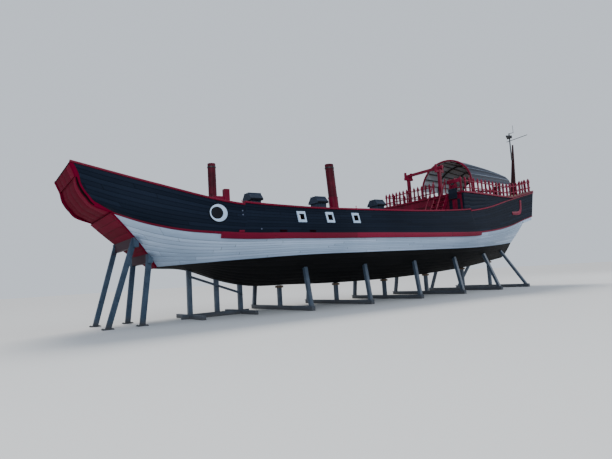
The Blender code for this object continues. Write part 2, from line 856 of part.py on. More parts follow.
def railing(name, path, top_of):
    """Two bars along a path of x and y, and the posts that carry them."""
    bars, posts = bmesh.new(), bmesh.new()
    for height in (RAILING_LOW, RAILING_HEIGHT):
        rings = []
        for (x, y), across in path:
            z = top_of(x) + GAP + height
            dx, dy = across[0] * RAILING_BAR / 2, across[1] * RAILING_BAR / 2
            corners = ((-1, 0), (-1, 1), (1, 1), (1, 0))
            rings.append([(x + a * dx, y + a * dy, z + b * RAILING_BAR) for a, b in corners])
        add_loft(bars, rings)
    (x0, y0), (x1, y1) = path[0][0], path[-1][0]
    if abs(x1 - x0) > abs(y1 - y0):
        xs = [p[0][0] for p in path][::-1]
        ys = [p[0][1] for p in path][::-1]
        places = places_between(x0 - POST, x1 + POST, POST_SPACING)
        spots = [(x, float(np.interp(x, xs, ys))) for x in places]
    else:
        places = places_between(y0 + POST, y1 - POST, FRONT_SPACING)
        spots = [(x0, y) for y in places]
    for x, y in spots:
        low = max(top_of(x - POST / 2), top_of(x + POST / 2)) + GAP
        add_post(posts, x, y, low, low + RAILING_HEIGHT + FINIAL)
    thing = make(name, bars, "red")
    combine(thing, tool(name + "_posts", posts), "UNION")
    return thing


def balustrades():
    front = POOP_X - 0.1
    edge = rail_point((0.0, front))[1] - RAILING_INSET
    gap = LADDER_WIDTH / 2 + 0.08
    across = (1.0, 0.0)
    starboard = [((front, -edge), across), ((front, LADDER_Y - gap), across)]
    port = [((front, LADDER_Y + gap), across), ((front, edge), across)]
    railing("balustrade_front_starboard", starboard, poop_top)
    railing("balustrade_front_port", port, poop_top)
    stations = [x for _, x in POOP_STATIONS if -HALF_LENGTH < x < POOP_X - 0.5]
    stations = [POOP_X - 0.35] + stations + [-HALF_LENGTH + 0.35]
    for name, hand in (("balustrade_port", 1), ("balustrade_starboard", -1)):
        path = []
        for x in stations:
            path.append(((x, hand * (rail_point((0.0, x))[1] - RAILING_INSET)), (0.0, 1.0)))
        railing(name, path, poop_top)
    back = -HALF_LENGTH + 0.12
    half = rail_point((0.0, back))[1] - RAILING_INSET
    railing("balustrade_stern", [((back, -half), across), ((back, half), across)], poop_top)


def poop_ladder():
    """Steep stair from the main deck to the gap in the front balustrade."""
    top_x, foot_x = POOP_X + GAP, POOP_X + LADDER_RUN
    top_z = poop_top(POOP_X) + 0.05
    foot_z = deck_seat(foot_x - 0.3, 0.35)
    strings, treads = bmesh.new(), bmesh.new()
    side = (
        (foot_x, foot_z, foot_z + 0.1),
        (foot_x - 0.28, foot_z, foot_z + 0.45),
        (top_x, top_z - 0.4, top_z),
    )
    for hand in (-1, 1):
        y = LADDER_Y + hand * LADDER_WIDTH / 2
        rings = []
        for x, z0, z1 in side:
            rings.append([(x, y - 0.03, z0), (x, y + 0.03, z0), (x, y + 0.03, z1), (x, y - 0.03, z1)])
        add_loft(strings, rings)
    for k in range(LADDER_TREADS):
        share = (k + 0.7) / (LADDER_TREADS + 0.3)
        x = foot_x - 0.14 + share * (top_x - foot_x + 0.16)
        z = foot_z + share * (top_z - 0.12 - foot_z) + 0.02
        half = LADDER_WIDTH / 2
        add_box(treads, x - 0.1, x + 0.12, LADDER_Y - half, LADDER_Y + half, z, z + 0.04)
    for hand in (-1, 1):
        y = LADDER_Y + hand * LADDER_WIDTH / 2
        add_beam(treads, (foot_x - 0.2, y, foot_z + 0.2), (foot_x - 0.2, y, foot_z + 1.05), 0.045, 0.045)
        add_beam(treads, (top_x + 0.1, y, top_z - 0.2), (top_x + 0.1, y, top_z + 0.85), 0.045, 0.045)
    ladder = make("poop_ladder", strings, "red")
    combine(ladder, tool("ladder_treads", treads), "UNION")
    rails = bmesh.new()
    for hand in (-1, 1):
        y = LADDER_Y + hand * LADDER_WIDTH / 2
        add_beam(rails, (foot_x - 0.08, y, foot_z + 0.9), (top_x + 0.05, y, top_z + 0.84), 0.06, 0.06)
    combine(ladder, tool("ladder_rails", rails), "UNION")
    return ladder


# Masts and fittings


def fore_mast():
    low = deck_seat(FORE_MAST_X, FORE_MAST_RADIUS)
    shape = bmesh.new()
    add_spindle(shape, [disc((FORE_MAST_X, 0, z), FORE_MAST_RADIUS, 16) for z in (low, FORE_MAST_TOP)])
    return make("fore_mast", shape, "mast", smooth=True)


def main_mast():
    """Raked stub, cut level at the top and resting on the deck."""
    low = deck_seat(MAIN_MAST_X, MAIN_MAST_RADIUS)
    lean = math.tan(math.radians(MAIN_MAST_RAKE)) * (MAIN_MAST_TOP - low)
    shape = bmesh.new()
    ends = ((MAIN_MAST_X, low), (MAIN_MAST_X + lean, MAIN_MAST_TOP))
    add_spindle(shape, [disc((x, 0, z), MAIN_MAST_RADIUS, 20) for x, z in ends])
    return make("main_mast", shape, "mast", smooth=True)


def tabernacle():
    """Staved casing round the foot of the main mast, raked with it, with a collar at its head."""
    inner = MAIN_MAST_RADIUS + TABERNACLE_GAP
    outer = inner + TABERNACLE_BOARD
    foot = deck_seat(MAIN_MAST_X, MAIN_MAST_RADIUS)
    low = deck_seat(MAIN_MAST_X, outer)
    rake = math.tan(math.radians(MAIN_MAST_RAKE))

    def sleeve(radius, heights):
        return [disc((MAIN_MAST_X + rake * (z - foot), 0, z), radius, 20) for z in heights]

    casing, collar, bore = bmesh.new(), bmesh.new(), bmesh.new()
    add_spindle(casing, sleeve(outer, (low, TABERNACLE_TOP - TABERNACLE_COLLAR / 2)))
    add_spindle(collar, sleeve(outer + TABERNACLE_BOARD, (TABERNACLE_TOP - TABERNACLE_COLLAR, TABERNACLE_TOP)))
    add_spindle(bore, sleeve(inner, (low - 0.1, TABERNACLE_TOP + 0.1)))
    thing = make("mast_tabernacle", casing, "red", smooth=True)
    combine(thing, tool("tabernacle_collar", collar), "UNION")
    combine(thing, tool("tabernacle_bore", bore), "DIFFERENCE")
    return thing


def mizzen_form(grow):
    """Tapered mast that leans aft and outboard, made larger by a little where it serves as a cutter."""
    low = poop_seat(MIZZEN_X, facet_reach(MIZZEN_RADIUS, 12))
    rings = []
    for share in (0.0, 0.5, 1.0):
        x, y = MIZZEN_X - share * MIZZEN_LEAN, MIZZEN_Y + share * MIZZEN_LEAN / 2
        radius = MIZZEN_RADIUS + share * (MIZZEN_TOP_RADIUS - MIZZEN_RADIUS) + grow
        rings.append(disc((x, y, low + share * (MIZZEN_TOP - low)), radius, 12))
    return add_spindle(bmesh.new(), rings)


def mizzen_mast():
    return make("mizzen_mast", mizzen_form(0.0), "mast", smooth=True)


def antenna_pole():
    """Thin pole strapped beside the mizzen's head, with a small platform and a yard to port."""
    share = (POLE_LOW - poop_top(MIZZEN_X)) / (MIZZEN_TOP - poop_top(MIZZEN_X))
    radius = MIZZEN_RADIUS + share * (MIZZEN_TOP_RADIUS - MIZZEN_RADIUS)
    x = MIZZEN_X - share * MIZZEN_LEAN + radius + POLE_RADIUS + 0.004
    y = MIZZEN_Y + share * MIZZEN_LEAN / 2
    shape, arms, whip = bmesh.new(), bmesh.new(), bmesh.new()
    add_spindle(shape, [disc((x, y, z), POLE_RADIUS, 8) for z in (POLE_LOW, POLE_TOP)])
    pole = make("antenna_pole", shape, "dark", smooth=True)
    tip, over = x + PLATFORM_REACH, PLATFORM_Z
    fore = [(tip, y + a * 0.03, over - b) for a, b in ((-1, 0.08), (1, 0.08), (1, 0.0), (-1, 0.0))]
    aft = [(x - 0.02, y + a * 0.2, over - b) for a, b in ((-1, 0.2), (1, 0.2), (1, 0.0), (-1, 0.0))]
    add_loft(arms, [fore, aft])
    add_beam(arms, (x, y - 0.25, YARD_Z), (x, y + YARD_REACH, YARD_Z + 0.1), 0.035, 0.035)
    add_beam(arms, (x, y - 0.02, POLE_TOP - 0.03), (x, y + 0.35, POLE_TOP - 0.03), 0.03, 0.03)
    add_beam(whip, (x, y + 0.33, POLE_TOP - 0.04), (x, y + 0.33, WHIP_TOP), 0.02, 0.02)
    strap = box(x - radius - POLE_RADIUS, x + 0.02, y - 0.03, y + 0.03, POLE_LOW + 0.1, POLE_LOW + 0.16)
    combine(pole, tool("antenna_arms", arms), "UNION")
    combine(pole, tool("antenna_whip", whip), "UNION")
    combine(pole, tool("antenna_strap", strap), "UNION")
    combine(pole, tool("mizzen_clearance", mizzen_form(2 * GAP)), "DIFFERENCE")
    return pole


def windlass():
    inner = BARREL_LENGTH / 2 + 0.0005
    for name, hand in (("windlass_bitt_port", 1), ("windlass_bitt_starboard", -1)):
        y0, y1 = sorted((hand * inner, hand * (inner + BITT)))
        low = deck_seat(BITT_X, BITT / 2)
        bitt = make(name, box(BITT_X - BITT / 2, BITT_X + BITT / 2, y0, y1, low, BITT_TOP), "red")
        y0, y1 = sorted((hand * inner, hand * (inner + BITT - 0.05)))
        arm = box(BITT_X, WINDLASS_X + 0.2, y0, y1, WINDLASS_Z - 0.15, WINDLASS_Z + 0.2)
        combine(bitt, tool(name + "_arm", arm), "UNION")
        hole = bmesh.new()
        for_journal = JOURNAL_RADIUS + JOURNAL_GAP
        ends = (hand * (inner - 0.1), hand * (inner + BITT + 0.1))
        add_spindle(hole, [disc((WINDLASS_X, y, WINDLASS_Z), for_journal, 16, "y") for y in ends])
        combine(bitt, tool(name + "_bearing", hole), "DIFFERENCE")
    shape = bmesh.new()
    half = BARREL_LENGTH / 2
    profile = (
        (-half - BITT, JOURNAL_RADIUS),
        (-half, JOURNAL_RADIUS),
        (-half, BARREL_RADIUS),
        (half, BARREL_RADIUS),
        (half, JOURNAL_RADIUS),
        (half + BITT, JOURNAL_RADIUS),
    )
    add_spindle(shape, [disc((WINDLASS_X, y, WINDLASS_Z), r, 12, "y") for y, r in profile])
    barrel = make("windlass_barrel", shape, "mast")
    spikes = bmesh.new()
    x, z, reach = WINDLASS_X, WINDLASS_Z, SPIKE_REACH
    for y in (-0.85, 0.85):
        add_beam(spikes, (x, y, z - reach), (x, y, z + reach), SPIKE, SPIKE)
        add_beam(spikes, (x - reach, y + 0.12, z), (x + reach, y + 0.12, z), SPIKE, SPIKE)
    combine(barrel, tool("windlass_spikes", spikes), "UNION")
    set_pivot(barrel, (x, 0.0, z))
    return barrel


def roof_form(x, half, width):
    """Roof with sloping sides and a flat ridge, running fore and aft past the walls."""
    eaves, ridge, out = COMPANION_EAVES, COMPANION_RIDGE, width + COMPANION_SIDE_OVERHANG
    flat = width * 0.6
    low, high, top = eaves - 0.06, eaves + 0.03, ridge - 0.03
    section = ((-out, low), (out, low), (out, high), (flat, top), (-flat, top), (-out, high))
    ends = (x + half + COMPANION_END_OVERHANG, x - half - COMPANION_END_OVERHANG)
    return add_spindle(bmesh.new(), [[(end, y, z) for y, z in section] for end in ends])


def companions():
    """Small roofed houses over the ladders below, each with a door in its fore wall."""
    half, width, wall = COMPANION_LENGTH / 2, COMPANION_WIDTH / 2, COMPANION_WALL
    for number, x in enumerate(COMPANION_X, start=1):
        name = f"companion_{number}"
        low = deck_seat(x, half)
        house = make(name, box(x - half, x + half, -width, width, low, COMPANION_EAVES), "mast")
        combine(house, tool(name + "_roof", roof_form(x, half, width)), "UNION")
        back, front, side = x - half + wall, x + half - wall, width - wall
        inside = box(back, front, -side, side, low + wall, COMPANION_EAVES - 0.12)
        combine(house, tool(name + "_inside", inside), "DIFFERENCE")
        sill = low + DOOR_SILL
        jamb = COMPANION_DOOR / 2 + DOOR_SIDE_GAP
        head = sill + COMPANION_DOOR_HEIGHT + 2 * DOOR_END_GAP
        doorway = box(front - 0.02, front + 0.3, -jamb, jamb, sill, head)
        combine(house, tool(name + "_doorway", doorway), "DIFFERENCE")
        pivot = COMPANION_DOOR / 2 - DOOR_THICKNESS / 2
        place = front + wall / 2
        swing_door(name + "_door", place, pivot, -1, sill, COMPANION_DOOR, COMPANION_DOOR_HEIGHT, "mast")


def gallows():
    """Crutch for a lowered yard: two posts with horned heads and a beam between them."""
    low = poop_seat(GALLOWS_X, GALLOWS_POST / 2)
    posts, bars, horns = bmesh.new(), bmesh.new(), bmesh.new()
    x, z, half = GALLOWS_X, GALLOWS_BEAM_Z, GALLOWS_POST / 2
    for y in (-GALLOWS_Y, GALLOWS_Y):
        add_box(posts, x - half, x + half, y - half, y + half, low, z + 0.05)
        add_box(horns, x - 0.36, x + 0.36, y - 0.07, y + 0.07, z - 0.22, z - 0.07)
        for peg in (x - 0.27, x + 0.27):
            add_box(bars, peg - 0.06, peg + 0.06, y - 0.06, y + 0.06, z - 0.14, GALLOWS_TOP)
    half -= 0.01
    add_box(bars, x - half, x + half, -GALLOWS_Y - 0.3, GALLOWS_Y + 0.3, z, z + 0.17)
    thing = make("gallows", posts, "red")
    combine(thing, tool("gallows_horns", horns), "UNION")
    combine(thing, tool("gallows_bars", bars), "UNION")
    return thing


# Awning


def arch(x, crown, grow):
    """Points of a hoop from the starboard spring over the crown to the port spring."""
    points = []
    for k in range(ARCH_STEPS + 1):
        angle = math.pi * k / ARCH_STEPS
        y = -(AWNING_HALF + grow) * math.cos(angle)
        z = AWNING_SPRING + (crown + grow - AWNING_SPRING) * math.sin(angle)
        points.append((x, y, z))
    return points


def hoop(shape, x, crown, grow, depth, fore):
    """Hoop over the deck with its feet on it, from its outer line inwards by a depth."""
    foot = poop_seat(x, HOOP)
    rings = []
    outer, inner = arch(x, crown, grow), arch(x, crown, grow - depth)
    outer = [(x, outer[0][1], foot)] + outer + [(x, outer[-1][1], foot)]
    inner = [(x, inner[0][1], foot)] + inner + [(x, inner[-1][1], foot)]
    for a, b in zip(outer, inner):
        aft = fore - HOOP
        rings.append([(fore, *a[1:]), (fore, *b[1:]), (aft, *b[1:]), (aft, *a[1:])])
    add_loft(shape, rings)


def awning():
    """Bent cover over hoops, the first of them heavier and standing clear ahead of it."""
    hoops, purlins = bmesh.new(), bmesh.new()
    first, *others = AWNING_STATIONS
    hoop(hoops, *first, AWNING_SHELL + 0.05, FRONT_HOOP, first[0] + HOOP)
    for x, crown in others:
        hoop(hoops, x, crown, -0.012, HOOP, x + HOOP / 2)
    for k in (1, 3, 5, 7, 9):
        rings = []
        for x, crown in AWNING_STATIONS:
            _, y, z = arch(x, crown, -0.012 - HOOP / 2)[k]
            corners = ((-1, -1), (1, -1), (1, 1), (-1, 1))
            rings.append([(x, y + a * PURLIN / 2, z + b * PURLIN / 2) for a, b in corners])
        add_loft(purlins, rings)
    frame = make("awning_frame", hoops, "red")
    combine(frame, tool("awning_purlins", purlins), "UNION")
    rings = []
    for number, (x, crown) in enumerate(AWNING_STATIONS):
        place = x - GAP if number == 0 else x
        outer, inner = arch(place, crown, AWNING_SHELL), arch(place, crown, 0.0)
        rings.append(outer + inner[::-1])
    return make("awning_shell", loft(rings), "roof", smooth=True)


# Rudder


def rudder():
    wide = STOCK_RADIUS + COLLAR
    seat = rudder_seat()
    stock = bmesh.new()
    profile = (
        (BLADE_LOW + 0.2, STOCK_RADIUS * 0.8),
        (seat, STOCK_RADIUS),
        (seat, wide),
        (seat + COLLAR, wide),
        (seat + COLLAR, STOCK_RADIUS),
        (STOCK_TOP, STOCK_RADIUS),
    )
    add_spindle(stock, [disc((RUDDER_X, 0, z), r, 12) for z, r in profile])
    thing = make("rudder", stock, "mast")
    half = BLADE_THICKNESS / 2
    blade = box(RUDDER_X - BLADE_CHORD, RUDDER_X + 0.04, -half, half, BLADE_LOW, BLADE_HIGH)
    combine(thing, tool("rudder_blade", blade), "UNION")
    low, half = seat + 0.35, TILLER / 2
    slot = box(RUDDER_X - 0.3, RUDDER_X + 0.3, -half - GAP, half + GAP, low - GAP, low + TILLER + GAP)
    combine(thing, tool("tiller_slot", slot), "DIFFERENCE")
    start = RUDDER_X - STOCK_RADIUS - 0.08
    tiller = make("tiller", box(start, RUDDER_X + TILLER_LENGTH, -half, half, low, low + TILLER), "red")
    for piece in (thing, tiller):
        set_pivot(piece, (RUDDER_X, 0.0, seat))


# Marks on the sides


def eye_disc(hand, radius, dx, proud):
    """Disc that stands proud of the planking by a little and follows its slope."""
    middle = wall_y(EYE_X, EYE_Z)
    slope = (wall_y(EYE_X, EYE_Z - 0.2) - wall_y(EYE_X, EYE_Z + 0.2)) / 0.4
    rings = []
    for depth in (-0.08, proud):
        ring = []
        for x, _, z in disc((EYE_X + dx, 0.0, EYE_Z), radius, 24, "y"):
            lean = wall_y(x, EYE_Z) - middle
            ring.append((x, hand * (middle + lean + depth - slope * (z - EYE_Z)), z))
        rings.append(ring)
    return add_spindle(bmesh.new(), rings)


def eye(name, hand, wall):
    """White disc with a raised pupil, lying against the planking."""
    thing = make(name, eye_disc(hand, EYE_RADIUS, 0.0, EYE_PROUD), "white")
    pupil = eye_disc(hand, PUPIL_RADIUS, PUPIL_SHIFT, EYE_PROUD + 0.015)
    combine(thing, tool(name + "_pupil", pupil), "UNION")
    combine(thing, seat_of(wall, name + "_seat", (0.0, hand * GAP, 0.0)), "DIFFERENCE")
    return thing


# Cradle


def keel_z(x):
    return on_line(KEEL, (0.0, x))[2]


def cradle_frames(bottom):
    """Floor beam, keel block post and two leaning shores under each part of the hull."""
    half = STEEL / 2
    for number, (x, shore) in enumerate(CRADLE_FRAMES, start=1):
        name = f"cradle_frame_{number}"
        floor, tops = bmesh.new(), bmesh.new()
        add_box(floor, x - half, x + half, -CRADLE_HALF, CRADLE_HALF, 0.0, STEEL)
        inset = half - 0.01
        add_box(tops, x - inset, x + inset, -half, half, STEEL / 2, keel_z(x) + KEEL_BITE)
        _, chine_y, chine_z = on_line(CHINE, (0.0, x))
        meeting = keel_z(x) + (chine_z - keel_z(x)) * shore / chine_y
        for hand in (-1, 1):
            foot = (x, hand * (CRADLE_HALF - 0.15), STEEL / 2)
            add_beam(tops, foot, (x, hand * shore, meeting + SHORE_BITE), STEEL - 0.02, STEEL - 0.02)
        thing = make(name, floor, "steel")
        combine(thing, tool(name + "_shores", tops), "UNION")
        combine(thing, seat_of(bottom, name + "_seat", (0.0, 0.0, -GAP)), "DIFFERENCE")


def cradle_keel_posts(bottom):
    """Posts under the rising fore end of the keel, on a beam with two cross feet."""
    half = STEEL / 2
    posts, crosses = bmesh.new(), bmesh.new()
    inset = half - 0.01
    for x in KEEL_POSTS_X:
        add_box(posts, x - half, x + half, -inset, inset, STEEL / 2, keel_z(x) + KEEL_BITE)
    inset = half - 0.02
    for x in KEEL_POSTS_X[::2]:
        add_box(crosses, x - inset, x + inset, -KEEL_SILL_HALF, KEEL_SILL_HALF, 0.0, STEEL - 0.02)
    aft, fore = KEEL_POSTS_X[-1] - 0.4, KEEL_POSTS_X[0] + 0.4
    thing = make("cradle_keel_posts", box(aft, fore, -half, half, 0.0, STEEL), "steel")
    combine(thing, tool("keel_post_crosses", crosses), "UNION")
    combine(thing, tool("keel_post_uprights", posts), "UNION")
    combine(thing, seat_of(bottom, "keel_posts_seat", (0.0, 0.0, -GAP)), "DIFFERENCE")


def cradle_bow_props():
    """Pairs of leaning props with a beam across them under the raked bow."""
    foot, knuckle = side_point(HULL_STATIONS[0], 0), side_point(HULL_STATIONS[0], 1)
    rise = (knuckle[2] - foot[2]) / (knuckle[0] - foot[0])
    for number, (foot_x, foot_y, head_x, head_y) in enumerate(BOW_PROPS, start=1):
        name = f"cradle_bow_prop_{number}"
        head_z = foot[2] + (head_x - foot[0]) * rise
        legs, beam = bmesh.new(), bmesh.new()
        for hand in (-1, 1):
            y = hand * foot_y
            add_box(beam, foot_x - 0.2, foot_x + 0.2, y - 0.2, y + 0.2, 0.0, 0.04)
            add_beam(legs, (foot_x, y, 0.0), (head_x, hand * head_y, head_z + 0.2), STEEL, STEEL)
        reach = head_y + 0.25
        add_box(beam, head_x - 0.04, head_x + 0.14, -reach, reach, head_z - 0.35, head_z + 0.1)
        thing = make(name, legs, "steel")
        combine(thing, tool(name + "_beam", beam), "UNION")
        stem = bow_slab(-1.0, PLATE_THICKNESS + 2 * GAP, 0.5)
        combine(thing, tool(name + "_seat", stem), "DIFFERENCE")


def build():
    clear_scene()
    bottom = hull_bottom()
    hull_side()
    cheeks = {}
    for side, hand in (("port", 1), ("starboard", -1)):
        wale("wale_" + side, hand)
        wall = topside("topside_" + side, hand)
        cap_rail("rail_" + side, hand)
        cheeks[hand] = cheek("cheek_" + side, hand)
        poop_side("poop_side_" + side, hand)
        eye("eye_" + side, hand, wall)
    main_deck()
    bow_plate()
    bow_panels(cheeks)
    poop_deck()
    poop_bulkhead()
    cabin_doors()
    stern_walls()
    balustrades()
    poop_ladder()
    fore_mast()
    main_mast()
    tabernacle()
    mizzen_mast()
    antenna_pole()
    windlass()
    companions()
    gallows()
    awning()
    rudder()
    cradle_frames(bottom)
    cradle_keel_posts(bottom)
    cradle_bow_props()


build()
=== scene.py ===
# Looks of a wooden war junk that stands ashore on its steel cradle.
# X runs towards the bow, Y to port and Z up from the ground, in metres.

import json
import math

import bmesh
import bpy
import numpy as np
from mathutils import Matrix, Vector


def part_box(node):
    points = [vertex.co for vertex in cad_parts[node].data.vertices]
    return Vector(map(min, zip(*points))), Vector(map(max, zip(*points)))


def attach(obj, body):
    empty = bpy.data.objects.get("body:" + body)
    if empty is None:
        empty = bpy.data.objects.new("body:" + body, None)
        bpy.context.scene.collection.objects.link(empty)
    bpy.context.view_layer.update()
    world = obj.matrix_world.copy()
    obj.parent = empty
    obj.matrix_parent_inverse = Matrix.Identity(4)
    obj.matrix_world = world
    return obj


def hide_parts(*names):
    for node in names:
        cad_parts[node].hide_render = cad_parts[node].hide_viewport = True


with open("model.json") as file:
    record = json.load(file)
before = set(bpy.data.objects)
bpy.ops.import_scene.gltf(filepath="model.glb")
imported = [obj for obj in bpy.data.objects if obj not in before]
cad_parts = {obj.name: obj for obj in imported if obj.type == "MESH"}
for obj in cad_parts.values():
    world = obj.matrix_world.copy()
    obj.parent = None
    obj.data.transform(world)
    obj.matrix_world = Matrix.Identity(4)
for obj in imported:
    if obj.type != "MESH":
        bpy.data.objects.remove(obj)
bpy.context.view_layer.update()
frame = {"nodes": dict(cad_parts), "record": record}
nodes = frame["nodes"]
bodyOf = {node: body for body, members in frame["record"]["behaviour"]["bodies"].items() for node in members}
print("frame loaded:", len(nodes), "nodes")


# Shader maths


class Sock:
    # One socket of a shader. Each operator adds a Math node.
    def __init__(self, kit, out):
        self.kit, self.out = kit, out

    def __add__(self, other): return self.kit.maths("ADD", self, other)
    def __radd__(self, other): return self.kit.maths("ADD", other, self)
    def __sub__(self, other): return self.kit.maths("SUBTRACT", self, other)
    def __rsub__(self, other): return self.kit.maths("SUBTRACT", other, self)
    def __mul__(self, other): return self.kit.maths("MULTIPLY", self, other)
    def __rmul__(self, other): return self.kit.maths("MULTIPLY", other, self)
    def __truediv__(self, other): return self.kit.maths("DIVIDE", self, other)
    def __rtruediv__(self, other): return self.kit.maths("DIVIDE", other, self)
    def __pow__(self, other): return self.kit.maths("POWER", self, other)
    def __abs__(self): return self.kit.maths("ABSOLUTE", self)
    def floor(self): return self.kit.maths("FLOOR", self)
    def fract(self): return self.kit.maths("FRACT", self)
    def atLeast(self, other): return self.kit.maths("MAXIMUM", self, other)
    def atMost(self, other): return self.kit.maths("MINIMUM", self, other)

    def between(self, low, high):  # 0 below low, 1 above high, smooth in between
        made = self.kit.node("ShaderNodeMapRange", {"interpolation_type": "SMOOTHSTEP", "clamp": True},
                             Value=self, From_Min=low, From_Max=high)
        return Sock(self.kit, made.outputs["Result"])


class Finish:
    # A material with one Principled BSDF. Fixed numbers go straight on its sockets.
    def __init__(self, name, **fixed):
        self.material = bpy.data.materials.new(name)
        self.material.use_nodes = True
        self.tree = self.material.node_tree
        self.shader = self.tree.nodes["Principled BSDF"]
        for key, value in fixed.items():
            self.feed(self.shader, key, value)

    def plug(self, socket, value):
        if isinstance(value, Sock):
            self.tree.links.new(value.out, socket)
        else:
            socket.default_value = value

    def feed(self, target, key, value):
        wanted = key.replace("_", " ")
        self.plug(next(s for s in target.inputs if s.identifier == key or s.name == wanted), value)

    def node(self, kind, settings=None, **sockets):
        made = self.tree.nodes.new(kind)
        for key, value in (settings or {}).items():
            setattr(made, key, value)
        for key, value in sockets.items():
            self.feed(made, key, value)
        return made

    def sums(self, kind, operation, values):
        made = self.node(kind, {"operation": operation})
        for socket, value in zip(made.inputs, values):
            self.plug(socket, value)
        return Sock(self, made.outputs[0])

    def maths(self, operation, *values): return self.sums("ShaderNodeMath", operation, values)
    def vector(self, operation, *values): return self.sums("ShaderNodeVectorMath", operation, values)

    def place(self):  # object coordinates, in metres
        return Sock(self, self.node("ShaderNodeTexCoord").outputs["Object"])

    def stored(self, name):  # a vector kept on the mesh's points
        return Sock(self, self.node("ShaderNodeAttribute", {"attribute_name": name}).outputs["Vector"])

    def parts(self, vector):
        return [Sock(self, out) for out in self.node("ShaderNodeSeparateXYZ", Vector=vector).outputs]

    def joined(self, x, y, z):
        return Sock(self, self.node("ShaderNodeCombineXYZ", X=x, Y=y, Z=z).outputs[0])

    def noise(self, vector, scale, detail=3.0, rough=0.5):
        made = self.node("ShaderNodeTexNoise", Vector=vector, Scale=scale, Detail=detail, Roughness=rough)
        return Sock(self, made.outputs["Fac"])

    def random(self, vector):
        made = self.node("ShaderNodeTexWhiteNoise", {"noise_dimensions": "3D"}, Vector=vector)
        return Sock(self, made.outputs["Value"])

    def mix(self, a, b, factor):  # colour a where factor is 0, colour b where it is 1
        made = self.node("ShaderNodeMix", {"data_type": "RGBA"}, Factor_Float=factor)
        for key, value in (("A_Color", a), ("B_Color", b)):
            self.feed(made, key, value if isinstance(value, Sock) else (*value, 1.0))
        return Sock(self, next(s for s in made.outputs if s.identifier == "Result_Color"))

    def done(self, colour, roughness, height=None, depth=0.01):
        self.feed(self.shader, "Base_Color", colour)
        self.feed(self.shader, "Roughness", roughness)
        if height is not None:
            bump = self.node("ShaderNodeBump", Height=height, Distance=depth, Strength=1.0)
            self.tree.links.new(bump.outputs["Normal"], self.shader.inputs["Normal"])
        return self.material


# Finishes. Each look is a deep, a faded and a worn colour: red, green and blue in linear light.

looks = {
    "blackPaint": ((0.0035, 0.0068, 0.0145), (0.0095, 0.0155, 0.03), (0.035, 0.045, 0.06)),
    "whitePaint": ((0.31, 0.41, 0.55), (0.5, 0.62, 0.8), (0.17, 0.18, 0.19)),
    "plateRed": ((0.08, 0.0007, 0.009), (0.18, 0.0026, 0.025), (0.07, 0.008, 0.016)),
    "redPaint": ((0.105, 0.0011, 0.0145), (0.23, 0.0037, 0.034), (0.08, 0.011, 0.02)),
    "darkBottom": ((0.003, 0.003, 0.0035), (0.0085, 0.008, 0.0085), (0.022, 0.021, 0.021)),
    "deckWood": ((0.085, 0.055, 0.036), (0.2, 0.145, 0.1), (0.27, 0.215, 0.165)),
    "mastWood": ((0.04, 0.0025, 0.008), (0.115, 0.0065, 0.019), (0.16, 0.035, 0.045)),
    "mizzenWood": ((0.012, 0.0025, 0.004), (0.04, 0.006, 0.009), (0.08, 0.03, 0.03)),
    "slateRoof": ((0.01, 0.017, 0.034), (0.03, 0.045, 0.075), (0.1, 0.125, 0.165)),
    "battenGrey": ((0.12, 0.15, 0.2), (0.22, 0.26, 0.33), (0.3, 0.34, 0.4)),
    # awningSlate: its third colour paints the pale reflected stripes along the boards
    "awningSlate": ((0.006, 0.011, 0.024), (0.02, 0.032, 0.058), (0.13, 0.16, 0.21)),
    # painted light: the awning's inside is paler, as if lit through the cover
    "liningGrey": ((0.34, 0.38, 0.44), (0.55, 0.6, 0.67), (0.7, 0.75, 0.8)),
    "cradlePaint": ((0.03, 0.048, 0.075), (0.065, 0.095, 0.135), (0.15, 0.18, 0.22)),
    "ironPaint": ((0.005, 0.0055, 0.007), (0.015, 0.016, 0.019), (0.06, 0.035, 0.022)),
}


def shaded(colour, share):
    return tuple(part * share for part in colour)


seamBand = (0.455, 0.49)  # boards from a board's middle, where its seam starts and is full


